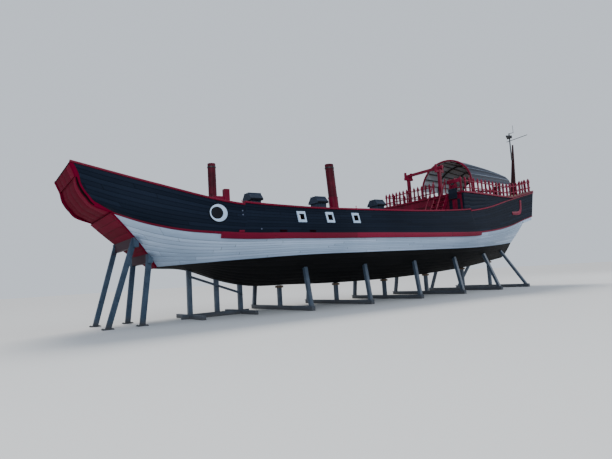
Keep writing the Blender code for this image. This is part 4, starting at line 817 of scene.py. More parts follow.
# Black bottom: a curve from the chine through the bilge to the keel, in strakes.
def darkBottom():
    count = 8
    rows, offset = strakes(count, 0.006, 0.003)
    s = places(15.0, hull["transomX"])
    chine, keel = onLine(chineLine, s)[:, None], onLine(keelLine, s)[:, None]
    bilge = (keel + chine) / 2
    bilge[..., 2] = keel[..., 2] + 0.4 * (chine[..., 2] - keel[..., 2])
    t = (rows / count)[None, :, None]
    half = chine * (1 - t) * (1 - 2 * t) + bilge * 4 * t * (1 - t) + keel * t * (2 * t - 1)
    half[..., 2] -= offset * 0.6
    piece("darkBottom", shell(mirrored(half, -1), half, s, rows), "bottomPlanks", replaces="hull_bottom")


# Wale and stripe: a band with eased edges between its foot and the stripe line, standing proud of the side.
def wales():
    s = places(15.0, -15.0)
    low, high = sidePoint(s, waleFoot(s)[:, None])[:, 0], onLine(stripeLine, s)
    thick = thickHere(high[:, 0])
    proud = np.where(thick, hull["waleProud"], hull["stripeProud"])[:, None]
    ease = np.where(thick, 0.018 / hull["waleHeight"], 0.01 / hull["stripeHeight"])[:, None]
    one, zero = np.ones_like(ease), np.zeros_like(ease)
    level = np.hstack([zero, ease * 0.3, ease, one * 0.5, one - ease, one - ease * 0.3, one, one, zero])
    out = [proud * share for share in (0.85, 0.95, 1.0, 1.0, 1.0, 0.95, 0.85)] + [-one * hull["wall"]] * 2
    points = low[:, None] + level[..., None] * (high - low)[:, None]
    points[..., 1] += np.hstack(out)
    points[:, [0, 8], 2] += hull["gap"]
    rows = np.array([0.1, 0.12, 0.2, 0.5, 0.8, 0.85, 0.9, 0.95, 0.05])
    spots = np.arange(9.4, -6.5, -0.62)
    centres = (sidePoint(spots, waleFoot(spots)[:, None])[:, 0] + onLine(stripeLine, spots)) / 2
    centres[:, 1] += hull["waleProud"] - 0.001
    for side, label, hand in sideNames:
        band = gridChunk(mirrored(points, hand), closeV=True, ends=True, plank=plankMap(s, rows))
        bolts = domes(mirrored(centres, hand), (0, hand, 0), 0.018, 0.007)
        piece("wale" + label, [band, bolts], "redStrip", replaces="wale_" + side)


# Cap rail: a rectangle with eased corners carried along the top of the planking.
def capRails():
    s = places(15.0, -15.0)
    width, height = hull["wall"] + 2 * hull["capLip"], hull["cap"] - hull["gap"]
    middle = railPoint(s) + np.array([0, -hull["wall"] / 2, hull["gap"] + height / 2])
    for side, label, hand in sideNames:
        chunk = sweep(mirrored(middle, hand)[None], (0, 1, 0), (0, 0, 1), softRect(width, height, 0.014))
        chunk["plank"] = plankMap(s, np.array([0.3, 0.4, 0.5, 0.6, 0.7, 0.6, 0.5, 0.4]))
        piece("capRail" + label, chunk, "redStrip", replaces="rail_" + side)


# Deck planking: strakes across from side to side on top, over the hidden body below.
def deckPlanks():
    count = 34
    rows, offset = strakes(count, 0.004, 0.001)
    s = places(14.78, hull["transomX"])
    edge, stripe = deckPoint(s), onLine(stripeLine, s)
    foot = sidePoint(s, waleFoot(s)[:, None])[:, 0]
    inset = hull["wall"] + hull["clear"]
    top = np.repeat(edge[:, None], len(rows), 1)
    top[..., 1] = (edge[:, 1:2] - inset) * (1 - 2 * rows / count)
    top[..., 2] += np.minimum(offset, 0)
    low = np.stack([mirrored(stripe, -1), mirrored(foot, -1), foot, stripe], 1)
    low[..., 1] -= np.array([-1, -1, 1, 1]) * inset
    low[..., 2] += 2 * hull["gap"]
    low[:, :, 0] = np.minimum(low[:, :, 0], stripe[:, :1])
    plank = plankMap(s, np.append(rows, [0.5] * 4))
    chunk = gridChunk(np.concatenate([top, low], 1), closeV=True, ends=True, plank=plank)
    piece("deckPlanks", chunk, "deckPlanks", replaces="main_deck")


# The stock of the rudder goes through the poop deck, and its collar sits on a level pad. Each row of the
# pad is a height above its foot and a radius.
stock = {"x": -13.92, "hole": 0.124, "sunk": 0.05,
         "pad": ((0.0, 0.235), (0.085, 0.235), (0.095, 0.225), (0.095, 0.13), (0.0, 0.13))}


# Poop deck: planks on top, an eased red edge past the sides, and a hole for the rudder's stock.
def poopDeck():
    count = 30
    rows, offset = strakes(count, 0.004, 0.001)
    s = places(hull["poopX"], -15.0)
    edge, level = railPoint(s), poopUnder(s) + hull["poopDeck"]
    y = edge[:, 1:2] + hull["deckLip"]
    across = (y - 0.012) * (1 - 2 * rows / count)
    top = np.stack([edge[:, :1] + 0 * across, across, level[:, None] + np.minimum(offset, 0)], -1)
    side = [(0.0, -0.015), (0.0, -0.085), (0.012, -0.1)]
    side = [(-1, *row) for row in side] + [(1, *row) for row in side[::-1]]
    rim = [np.stack([edge[:, 0], hand * (y[:, 0] - ease), level + drop], -1) for hand, ease, drop in side]
    ring = np.concatenate([top, np.stack(rim, 1)], 1)
    chunk = gridChunk(ring, closeV=True, ends=True, plank=plankMap(s, np.append(rows, [0.5] * 6)))
    quads = chunk["faces"][0].reshape(len(s) - 1, ring.shape[1], 4)
    planks, rest = (part.reshape(-1, 4) for part in np.split(quads, [len(rows) - 1], 1))
    chunks = [{**chunk, "faces": [planks]}, secondPaint(chunk, [rest] + chunk["faces"][1:])]
    deck = piece("poopDeck", chunks, ["deckPlanks", "redStrip"], replaces="poop_deck")
    carve(deck, turned((stock["x"], 0, 5.6), (0, 0, 1), [(0, stock["hole"]), (1.5, stock["hole"])], 32))
    height, radius = np.array(stock["pad"]).T
    angle = np.linspace(0, 2 * np.pi, 49)[:, None]
    low = float(poopTop(stock["x"])) - stock["sunk"]
    x, y = stock["x"] + radius * np.cos(angle), radius * np.sin(angle)
    grid = np.stack([x, y, low + height + 0 * angle], -1)
    merge(piece("rudderPad", gridChunk(grid, closeV=True), "blackIron"))


# Wedge of planks between the rising rail and the poop deck.
def poopSides():
    count = 4
    rows, offset = strakes(count, 0.006, 0.003)
    s = places(hull["poopX"], -15.0)
    edge = railPoint(s)
    low, high = edge[:, 2] + hull["cap"] + hull["gap"], poopUnder(s) - hull["gap"]
    z = low[:, None] + rows / count * (high - low)[:, None]
    outer = np.stack([edge[:, :1] + 0 * z, edge[:, 1:2] + offset, z], -1)
    inner = outer - (0, hull["wall"], 0)
    for side, label, hand in sideNames:
        piece("poopSide" + label, shell(outer, inner, s, rows + 20, hand), "blackPlanks",
              replaces="poop_side_" + side)


# Bow

bowValues = {"apron": (0.08, 0.06), "apronFoot": (0.005, 0.02), "breast": (0.03, 0.046), "split": 0.7466,
             "breastTop": 1.0, "plateThick": 0.08, "plateStrakes": 9, "coping": 0.06, "slot": (0.13, 0.7),
             "slotLift": 0.004, "slotSide": 0.055, "slotFront": 0.11}


# Red cheek: the thick end of the side, an even band along the bow's smooth profile.
def cheeks():
    s = np.linspace(15.0, hull["fairingX"] + cheekRake * (hull["halfLength"] - hull["fairingX"]), 6)
    rows = np.linspace(0, 1, 41)
    outer = upperPoint(s, rows[None])
    outer[:, 0, 2] += hull["gap"]
    inner = outer - (0, hull["cheekWidth"], 0)
    for side, label, hand in sideNames:
        made = piece("cheek" + label, shell(outer, inner, s, rows * 0.4 + 0.3, hand), "cheekRed",
                     replaces="cheek_" + side)
        easeEdges(made, 0.012, 50)


# Half the clear width between the cheeks at shares of the bow's height.
def betweenCheeks(share):
    return upperPoint(np.array([14.9]), np.atleast_2d(share))[0, :, 1] - hull["cheekWidth"]


# Board across the bow between two shares of its profile: upright planks side by side. Its recess and
# thickness may start from other values at the foot.
def bowBoard(name, node, shares, size, foot=None):
    count = 4
    rows, offset = strakes(count, 0.005, 0.003)
    share = np.linspace(*shares, 26)
    recess, thick = (np.interp(share, (0, bowShares[1]), pair) for pair in zip(foot or size, size))
    front, behind = bowProfile(share, recess), bowProfile(share, recess + thick)
    out = unit(front - behind)
    y = (betweenCheeks(share) - 0.003)[:, None] * (1 - 2 * rows / count)
    outer = np.stack([front[:, :1] + out[:, :1] * offset, y, front[:, 1:] + out[:, 1:] * offset], -1)
    inner = np.stack([behind[:, :1] + 0 * y, y, behind[:, 1:] + 0 * y], -1)
    piece(name, shell(outer, inner, share * 2.4, rows), "redPlanks", replaces=node)


def bowBoards():
    v = bowValues
    bowBoard("bowApron", "bow_apron", (0.0, v["split"] + 0.012), v["apron"], v["apronFoot"])
    bowBoard("breastBoard", "breast_board", (v["split"] + 0.006, v["breastTop"]), v["breast"])


# Dark line along each cheek's front corner, between two shares of the profile: thin on the side and wider
# in front. It is painted shade: a near-black strip for the shadowed gap between the cheek and the apron.
def bowShadowStrips():
    v = bowValues
    share = np.linspace(*v["slot"], 32)
    swell = np.sin(np.pi * np.linspace(0.03, 0.97, len(share))) ** 0.3
    fore, back = upperPoint(np.array([15.0, 14.88]), share[None])
    lift, aft, across = v["slotLift"], v["slotSide"] * swell, v["slotFront"] * swell
    flare = (back - fore)[:, 1] * aft / np.linalg.norm((back - fore)[:, ::2], axis=1)
    corners = [(aft, flare + lift), (-lift, lift), (-lift, -across), (0.01, -across), (0.01, -0.01),
               (aft, flare - 0.01)]
    rows = []
    for inset, out in corners:
        x, z = bowProfile(share, inset).T
        rows.append(np.stack([x, fore[:, 1] + out, z], -1))
    for _, label, hand in sideNames:
        ring = mirrored(np.stack(rows, 1), hand)
        # painted shade strip beside the cheek
        piece("bowSlot" + label, gridChunk(ring, closeV=True, ends=True), "portDark")


# Dark coping along the top of the breast board.
def breastCoping():
    recess, thick = bowValues["breast"]
    size = bowValues["coping"]
    half = betweenCheeks(1.0)[0] - 0.004
    x, z = bowProfile(1.0, recess)
    x, z = x - thick / 2, z + size / 2
    piece("breastCoping", bars((x, -half, z), (x, half, z), thick + 0.03, size, 0.01), "portDark")


# Plate under the knuckle: boards across the stem, following its width row by row.
def bowPlate():
    count = bowValues["plateStrakes"]
    rows, offset = strakes(count, 0.003, 0.002)
    line = sidePoint(bowEnd, (rows / count)[None])[0]
    slope = unit((line[-1] - line[0]) * (1, 0, 1))
    out = np.array([slope[2], 0, -slope[0]])
    v = np.linspace(1, -1, 25)
    ease = np.where(np.abs(v) == 1, 0.01, 0.0)
    reach = bowValues["plateThick"] + offset[:, None] - ease
    flat = np.stack([line[:, :1] + 0 * reach, line[:, 1:2] * v, line[:, 2:] + 0 * reach], -1)
    ring = np.concatenate([flat + out * reach[..., None], (flat + out * 0.0004)[:, ::-1]], 1)
    y = ring[..., 1]
    plank = np.stack([y, np.broadcast_to(rows[:, None] + 0.0001, y.shape), 0 * y], -1)
    chunk = wallEnds(ring, gridChunk(ring, closeV=True, plank=plank))
    piece("bowPlate", chunk, "redPlanks", replaces="bow_plate")


# Marks on the sides

eyeValues = {"x": 9.85, "z": 4.28, "radius": 0.36, "pupil": 0.25, "shift": 0.07, "rim": 0.035}


# Point and three directions of the planking at a place: forward, up and out.
def wallFrame(x, z, hand):
    here = np.array([x, wallY(x, z)[0], z])
    fore = np.array([x + 0.1, wallY(x + 0.1, z)[0], z]) - here
    up = np.array([x, wallY(x, z + 0.1)[0], z + 0.1]) - here
    fore, up, here = (mirrored(p, hand) for p in (unit(fore), unit(up), here))
    out = unit(np.cross(up, fore) if hand > 0 else np.cross(fore, up))
    return here, fore, up, out


# Domed discs: each row is a height off the planking and a radius, turned round the outward direction.
def eyes():
    v = eyeValues
    r, p, edge = v["radius"], v["pupil"], v["radius"] + v["rim"]
    rim = [(-0.05, edge), (0.018, edge), (0.026, r + v["rim"] * 0.6), (0.026, r), (-0.05, r)]
    white = [(-0.05, r), (0.022, r), (0.032, r - 0.012), (0.038, r * 0.8), (0.04, r * 0.4), (0.04, 0.002)]
    black = [(0.0, p), (0.044, p), (0.052, p - 0.014), (0.055, p * 0.7), (0.056, p * 0.3), (0.056, 0.002)]
    for side, label, hand in sideNames:
        here, fore, _, out = wallFrame(v["x"], v["z"], hand)
        piece("eyeRim" + label, turned(here, out, rim, 64), "eyeBlack")
        piece("eyeWhite" + label, turned(here, out, white, 64), "eyeWhite", replaces="eye_" + side)
        piece("eyePupil" + label, turned(here + fore * v["shift"], out, black, 64), "eyeBlack")


# Red hook on each quarter: a raised strip along the planking, down from the rail and forward.
def quarterTrim():
    route = np.array([(-12.9, 5.84), (-12.89, 5.55), (-12.86, 5.25), (-12.72, 5.03), (-12.42, 4.94),
                      (-11.95, 4.9), (-11.45, 4.88)])
    t = np.linspace(0, 6, 61)
    x, z = (smoothCurve(np.arange(7.0), route[:, k], t) for k in (0, 1))
    tangent = unit(np.stack([np.gradient(x), np.gradient(z)], -1))
    width = np.interp(t, (0, 3, 4, 6), (0.13, 0.14, 0.12, 0.11))[:, None]
    across, out = np.array([(-1, -0.03), (-1, 0.02), (-0.85, 0.032), (0.85, 0.032), (1, 0.02), (1, -0.03)]).T
    px, pz = x[:, None] - tangent[:, 1:] * across * width, z[:, None] + tangent[:, :1] * across * width
    for _, label, hand in sideNames:
        chunk = gridChunk(onWall(px, pz, out, hand), closeV=True, ends=True)
        piece("quarterTrim" + label, chunk, "redTimber")


# Small things along the sides: scuppers and a chock over the wale, pale plates, and pins on the rail. The
# scuppers are near-black bars of painted shade standing for their openings. Each row of a pin is a height and
# a radius.
sideValues = {"scuppers": ((7.27, 6.92), (5.78, 5.46)), "chock": (9.09, 8.88), "pins": (8.78, 2.72),
              "plates": ((8.83, 4.39), (8.83, 4.22), (8.1, 3.62)),
              "pin": ((0, 0.035), (0.02, 0.035), (0.03, 0.02), (0.075, 0.018), (0.09, 0.034), (0.12, 0.036),
                      (0.135, 0.02), (0.14, 0.004))}


# Bar on the planking between two places, a little above the stripe, standing proud of it.
def wallBar(ends, lift, height, proud, hand):
    xs = np.linspace(*ends, 6)
    z = onLine(stripeLine, xs)[:, 2] + lift + height / 2
    path = np.stack([xs, wallY(xs, z) + proud / 2 - 0.01, z], -1)
    return sweep(mirrored(path, hand)[None], (0, 1, 0), (0, 0, 1), softRect(proud + 0.02, height, 0.005))


def sideTrims():
    v = sideValues
    edge = railPoint(np.array(v["pins"])) + np.array([0, -hull["wall"] / 2, hull["cap"]])
    for _, label, hand in sideNames:
        # painted shade: dark bars where the scupper openings are
        scuppers = [wallBar(ends, 0.03, 0.095, 0.014, hand) for ends in v["scuppers"]]
        piece("scuppers" + label, scuppers, "portDark")
        piece("waleChock" + label, wallBar(v["chock"], 0.02, 0.08, 0.05, hand), "redTimber")
        frames = [wallFrame(x, z, hand) for x, z in v["plates"]]
        plates = [domes(here, out, 0.032, 0.012, 16) for here, _, _, out in frames]
        piece("sidePlates" + label, plates, "plateGrey")
        piece("railPins" + label, turned(mirrored(edge, hand), (0, 0, 1), v["pin"], 20), "paleFittings")


# Balustrades

railing = {"height": 0.62, "low": 0.22, "bar": 0.06, "post": 0.09, "finial": 0.3, "spacing": 0.48,
           "frontSpacing": 0.33, "inset": 0.1, "ladderY": 1.7, "ladderGap": 0.53, "sternX": -14.88}


def spread(start, end, spacing):
    return np.linspace(start, end, max(1, round(abs(end - start) / spacing)) + 1)


# Posts: a soft square whose size follows a turned outline up to the spear-shaped head.
def postChunk(x, y, low):
    neck, size = railing["height"], railing["post"]
    height, scale = np.array([
        (0, 1), (neck - 0.05, 1), (neck - 0.03, 1.16), (neck, 1.16), (neck + 0.02, 0.82), (neck + 0.045, 0.8),
        (neck + 0.075, 1.3), (neck + 0.11, 1.42), (neck + 0.15, 1.3), (neck + 0.21, 0.78), (neck + 0.27, 0.3),
        (neck + railing["finial"] - 0.004, 0.08)]).T
    x, y, z = np.broadcast_arrays(x[:, None], y[:, None], low[:, None] + height)
    return sweep(np.stack([x, y, z], -1), (1, 0, 0), (0, 1, 0), softRect(size, size, 0.016), scale[None])


# Two rails along the edge of the poop, and the posts between.
def balustrade(name, node, xs, ys, side=False):
    v = railing
    chunks = []
    for height, size in ((v["low"], v["bar"]), (v["height"], v["bar"] * 1.15)):
        middle = np.stack([xs, ys, poopTop(xs) + height + v["bar"] / 2], -1)
        across = (0, 1, 0) if side else (1, 0, 0)
        chunks.append(sweep(middle[None], across, (0, 0, 1), softRect(size, v["bar"], 0.012)))
    if side:
        px = spread(xs[0] - v["post"], xs[-1] + v["post"], v["spacing"])
        py = np.interp(px, xs[::-1], ys[::-1])
    else:
        py = spread(ys[0] + v["post"], ys[-1] - v["post"], v["frontSpacing"])
        px = np.full(len(py), xs[0])
    low = np.maximum(poopTop(px - 0.045), poopTop(px + 0.045)) + hull["gap"]
    chunks.append(postChunk(px, py, low))
    piece(name, chunks, "redPosts", replaces=node, crease=32)


def balustrades():
    def edgeAt(x):
        return railPoint(np.atleast_1d(x))[:, 1] - railing["inset"]

    front, back = hull["poopX"] - 0.1, railing["sternX"]
    y, gap = railing["ladderY"], railing["ladderGap"]
    for label, side, ends in (("Starboard", "starboard", (-edgeAt(front)[0], y - gap)),
                              ("Port", "port", (y + gap, edgeAt(front)[0]))):
        balustrade("frontRail" + label, "balustrade_front_" + side, np.full(2, front), np.array(ends))
    xs = places(hull["poopX"] - 0.35, -14.65)
    for side, label, hand in sideNames:
        balustrade("sideRail" + label, "balustrade_" + side, xs, hand * edgeAt(xs), True)
    balustrade("sternRail", "balustrade_stern", np.full(2, back), edgeAt(back)[0] * np.array([-1, 1]))


# Boards at the port end of the poop's front: each row is the low and high y, the low and high z, how far
# it stands ahead of the bulkhead, its thickness and its finish.
cornerValues = {
    "topBoard": (2.2, 3.2, 6.57, 6.8, 0.105, 0.04, "redTimber"),
    "midBoard": (2.26, 2.8, 6.12, 6.5, -0.05, 0.03, "redTimber"),
    "darkBoard": (2.28, 2.9, 5.62, 6.24, 0.15, 0.03, "blackBoards"),
    "blackFrame": (2.18, 2.98, 4.62, 5.6, 0.02, 0.03, "blackBoards"),
    "redPanel": (2.44, 2.78, 4.9, 5.58, 0.045, 0.03, "redBoards"),
}


def poopCorner():
    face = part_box("poop_bulkhead")[1].x
    for name, (y0, y1, z0, z1, ahead, thick, paint) in cornerValues.items():
        x, z = face + ahead - thick / 2, (z0 + z1) / 2
        piece(name, bars((x, y0, z), (x, y1, z), thick, z1 - z0, 0.006), paint)


# Masts

mastValues = {"foreX": 8.58, "foreTop": 7.16, "foreRadius": 0.195, "foreHoops": (4.9, 6.98),
              "mainX": 1.25, "mainTop": 7.71, "mainRadius": 0.25, "mainHoops": (7.5,), "mainRake": 4.0,
              "mizzenFoot": (-14.1, 1.3), "mizzenHead": (-14.4, 1.45), "mizzenRadius": (0.2, 0.05)}


# Round body along a leaning line: a level outline carried at shares of the line, with a size at each.
def pole(foot, run, share, outline, size):
    return sweep((foot + share[:, None] * run)[None], (1, 0, 0), (0, 1, 0), outline, size[None])


# Mast's stub: a slow taper with iron hoops, and an eased rim where it was sawn off.
def mastStub(name, node, foot, head, radius, hoops):
    foot, run = np.array(foot, float), np.array(head, float) - np.array(foot, float)
    share = np.array([0, 0.02, 0.3, 0.6, 0.9, 1 - 0.02 / np.linalg.norm(run), 1])
    size = radius * np.array([1.0, 1.0, 0.995, 0.985, 0.98, 0.975, 0.93])
    sides = 48
    ripple = 1 + 0.008 * np.sin(3 * np.arange(sides) * 2 * np.pi / sides + 0.6)
    stub = pole(foot, run, share, circle(sides) * ripple[:, None], size)
    along, wide = np.array([(-0.035, 0.99), (-0.035, 1.05), (-0.028, 1.065), (0.028, 1.065), (0.035, 1.05),
                            (0.035, 0.99)]).T
    iron = [pole(foot + (z - foot[2]) / run[2] * run, unit(run), along, circle(sides), radius * wide)
            for z in hoops]
    piece(name, stub, "mastTimber", replaces=node, crease=45)
    piece(name + "Hoops", iron, "blackIron")


def masts():
    v = mastValues
    for mast in ("fore", "main"):
        node, x, top = mast + "_mast", v[mast + "X"], v[mast + "Top"]
        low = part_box(node)[0].z
        lean = math.tan(math.radians(v.get(mast + "Rake", 0.0))) * (top - low)
        mastStub(mast + "Mast", node, (x, 0, low), (x + lean, 0, top), v[mast + "Radius"], v[mast + "Hoops"])
    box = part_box("mizzen_mast")
    foot, head = np.array([*v["mizzenFoot"], box[0].z]), np.array([*v["mizzenHead"], box[1].z])
    chunk = pole(foot, head - foot, np.linspace(0, 1, 16), circle(32), np.linspace(*v["mizzenRadius"], 16))
    piece("mizzenMast", chunk, "mizzenTimber", replaces="mizzen_mast", crease=45)


# Awning

awning = {"x": (-8.4, -9.9, -11.35, -12.65), "crown": (8.7, 8.57, 8.35, 8.07), "half": 2.0, "spring": 7.0,
          "shell": 0.05, "hoop": 0.08, "frontHoop": 0.115, "purlin": 0.045, "boards": 22, "purlins": 12}


def crownAt(x):
    return smoothCurve(np.array(awning["x"][::-1]), np.array(awning["crown"][::-1]), x)


# Half an ellipse over the deck: y = -(half + grow) cos a, z = spring + (crown + grow - spring) sin a.
def archPoint(crown, grow, angle):
    y = -(awning["half"] + grow + 0 * crown) * np.cos(angle)
    return y, awning["spring"] + (crown + grow - awning["spring"]) * np.sin(angle)


# Long strip on the arch at one angle, square to it.
def archStrip(x, grow, angle, profile):
    y, z = archPoint(crownAt(x), grow, angle)
    up = np.array([0, -np.cos(angle), np.sin(angle)])
    return sweep(np.stack([x, y, z], -1)[None], np.cross((1, 0, 0), up), up, profile)


# Cover: boards that run fore and aft, each lapping the next one down, over a lining of lighter panels. The
# lining's lighter grey is painted light, for sunlight coming through the cover.
def awningCover():
    count = awning["boards"]
    rows = np.append((np.arange(count)[:, None] + np.array([0.0, 0.03, 0.5, 0.97])).ravel(), count)
    port = rows < count / 2
    part = rows - np.floor(rows)
    lap = np.where(rows == count, 0.0, np.where(port, 1 - part, part))
    angle = np.pi * rows / count
    x = np.linspace(awning["x"][0] - 0.0005, awning["x"][-1], 40)
    crown = crownAt(x)[:, None]
    outer, inner = (np.stack([x[:, None] + 0 * y, y, z], -1) for y, z in (
        archPoint(crown, awning["shell"] - 0.014 * lap, angle), archPoint(crown, 0.0, angle)))
    chunk = shell(outer, inner, x, np.where(port, count - rows, rows), innerRows=rows)
    quads = chunk["faces"][0].reshape(len(x) - 1, 2 * len(rows), 4)
    top, under = (part.reshape(-1, 4) for part in np.split(quads, [len(rows) - 1], 1))
    # the underside takes the paler painted-light finish
    chunks = [{**chunk, "faces": [top] + chunk["faces"][1:]}, secondPaint(chunk, [under])]
    piece("awningCover", chunks, ["awningBoards", "awningLining"], replaces="awning_shell", crease=20)


# Battens outside over every second seam of the cover.
def awningBattens():
    count = awning["boards"]
    x = np.linspace(awning["x"][0] - 0.02, awning["x"][-1] + 0.01, 30)
    profile = softRect(0.04, 0.02, 0.005)
    chunks = [archStrip(x, awning["shell"] + 0.004, np.pi * k / count, profile)
              for k in range(2, count - 1, 2)]
    piece("awningBattens", chunks, "battenPaint")


# Hoop: a soft rectangle carried from one foot over the arch to the other.
def hoopChunk(x, crown, grow, depth):
    foot = float(max(poopTop(x - 0.08), poopTop(x + 0.08))) + hull["gap"]
    y, z = archPoint(crown, grow - depth / 2, np.linspace(0, np.pi, 49))
    path = np.stack([np.full(49, x), y, z], -1)
    legs = np.linspace(0, 1, 6)[:-1, None]
    start, end = (np.array([x, path[k, 1], foot]) * (1 - legs) + path[k] * legs for k in (0, -1))
    path = np.concatenate([start, path, end[::-1]])
    up = np.cross((1.0, 0, 0), unit(np.gradient(path, axis=0)))
    return sweep(path[None], (1, 0, 0), up[None], softRect(awning["hoop"], depth, 0.012))


def awningFrame():
    v = awning
    front = hoopChunk(v["x"][0] + v["hoop"] / 2, v["crown"][0], v["shell"] + 0.05, v["frontHoop"])
    piece("awningFrontHoop", front, "redTimber", replaces="awning_frame")
    chunks = [hoopChunk(x, crown, -0.012, v["hoop"]) for x, crown in zip(v["x"][1:], v["crown"][1:])]
    x = np.linspace(v["x"][0] - 0.01, v["x"][-1], 30)
    profile = softRect(v["purlin"], v["purlin"], 0.006)
    for k in range(1, v["purlins"]):
        chunks.append(archStrip(x, -0.012 - v["hoop"] / 2, np.pi * k / v["purlins"], profile))
    piece("awningHoops", chunks, "blackIron")


# Deck fittings


# Ring: a small circle carried round a large one.
def ringChunk(centre, radius, thick):
    axis = np.array([[1.0, 0, 0]])
    across, up = sideways(axis)
    out = circle(24) @ np.concatenate([across, up])
    path = np.asarray(centre) + out * radius
    return sweep(path[None], out[None], axis[0], circle(8) * thick, closed=True)


# Irons of a door: straps start at a distance from the hinge's edge and end short of the other, set in from
# foot and head, and a knob plate with its ring sits near the far edge.
hatchDoor = {"near": 0.07, "far": 0.14, "inset": 0.2, "width": 0.04, "knob": 0.09, "plate": 0.028,
             "ring": 0.045, "wire": 0.006}
cabinDoor = {"near": 0.15, "far": 0.16, "inset": 0.25, "width": 0.05, "knob": 0.08, "plate": 0.03,
             "ring": 0.05, "wire": 0.007}


def doorIrons(name, node, v, hand=1):
    low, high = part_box(node)
    far, near = (low.y, high.y) if hand > 0 else (high.y, low.y)
    face, middle, knob = high.x, (low.z + high.z) / 2, far + hand * v["knob"]
    irons = [bars((face + 0.002, near - hand * v["near"], z), (face + 0.002, far + hand * v["far"], z),
                  v["width"], 0.008, 0.002) for z in (low.z + v["inset"], high.z - v["inset"])]
    irons.append(domes((face, knob, middle), (1, 0, 0), v["plate"], 0.012, 16))
    irons.append(ringChunk((face + 0.012, knob, middle - v["ring"]), v["ring"], v["wire"]))
    piece(name, irons, "blackIron", node)


houses = {"x": (6.45, 2.42, -1.88), "length": 0.55, "eaves": 5.5, "ridge": 5.81, "flat": 0.2,
          "overhang": 0.08}


# Walls and roof of each house, battens over the seams of the roof, and a door.
def hatchHouses():
    v = houses
    ends = v["length"] / 2 + v["overhang"] + 0.012
    for number, x in enumerate(v["x"], start=1):
        node = f"companion_{number}"
        faces = softened(node, ["wallBoards", "roofBoards"], 0.006).data.polygons
        centres = np.empty(len(faces) * 3)
        faces.foreach_get("center", centres)
        faces.foreach_set("material_index", (centres[2::3] > v["eaves"] - 0.055).astype(np.int32))
        y = np.array([-v["flat"], 0.0, v["flat"]])
        starts, stops = (np.stack([0 * y + x + way * ends, y, 0 * y + v["ridge"] + 0.008], -1)
                         for way in (-1, 1))
        piece(f"hatchBattens{number}", bars(starts, stops, 0.045, 0.024, 0.005), "roofBoards")
        softened(node + "_door", "doorBoards", 0.005)
        doorIrons(f"hatchIrons{number}", node + "_door", hatchDoor)


windlassValues = {"x": 9.02, "z": 5.12, "hoops": (-1.3, -0.45, 0.45, 1.3), "inside": 0.15, "outside": 0.176,
                  "width": 0.06}


def windlass():
    v = windlassValues
    softened("windlass_barrel", "mastTimber", 0.006)
    for side, _, _ in sideNames:
        softened("windlass_bitt_" + side, "redPosts", 0.012)
    band = [(0, v["inside"]), (0, v["outside"]), (v["width"], v["outside"]), (v["width"], v["inside"])]
    rings = [turned((v["x"], y - v["width"] / 2, v["z"]), (0, 1, 0), band, 24) for y in v["hoops"]]
    piece("windlassHoops", rings, "blackIron", "windlass_barrel")


def cabin():
    softened("poop_bulkhead", "redBoards", 0.006)
    softened("stern_bulkhead", "blackBoards", 0.006)
    softened("stern_board", "blackBoards", 0.006)
    for side, label, hand in sideNames:
        softened("cabin_door_" + side, "doorBoards", 0.005)
        doorIrons("cabinDoorIrons" + label, "cabin_door_" + side, cabinDoor, hand)


def fittings():
    softened("mast_tabernacle", "redPosts", 0.004)
    softened("gallows", "redPosts", 0.012)
    softened("poop_ladder", "redTimber", 0.006)
    softened("tiller", "tillerWood", 0.012)
    softened("rudder", "mastTimber", 0.008)
    nodes["antenna_pole"].data.materials.clear()
    nodes["antenna_pole"].data.materials.append(finishes["blackIron"])


blade = {"aft": -14.72, "fore": -13.84, "half": 0.05, "straps": (4.75, 5.3, 5.75), "bolts": 5}


# Straps round the rudder's blade and bolts through them.
def rudderIrons():
    v = blade
    chunks = []
    x = np.linspace(v["aft"] + 0.08, v["fore"] - 0.12, v["bolts"])
    for z in v["straps"]:
        for hand in (-1, 1):
            y = hand * v["half"]
            chunks.append(bars((v["aft"], y, z), (v["fore"], y, z), 0.012, 0.07, 0.003))
            spots = np.stack([x, 0 * x + y + hand * 0.006, 0 * x + z], -1)
            chunks.append(domes(spots, (0, hand, 0), 0.014, 0.007))
    piece("rudderStraps", chunks, "blackIron", "rudder")


# Cradle

cradleValues = {"frames": (5.2, 1.6, -2.0, -5.6, -9.2, -12.2), "beamEnd": 2.75, "steel": 0.2, "plate": 0.4,
                "propFeet": ((13.63, 1.18), (12.32, 1.12)), "brace": ((9.98, 1.9), (7.32, 0.94))}


def atHeight(spots, z):
    return np.column_stack([spots, np.full(len(spots), z)])


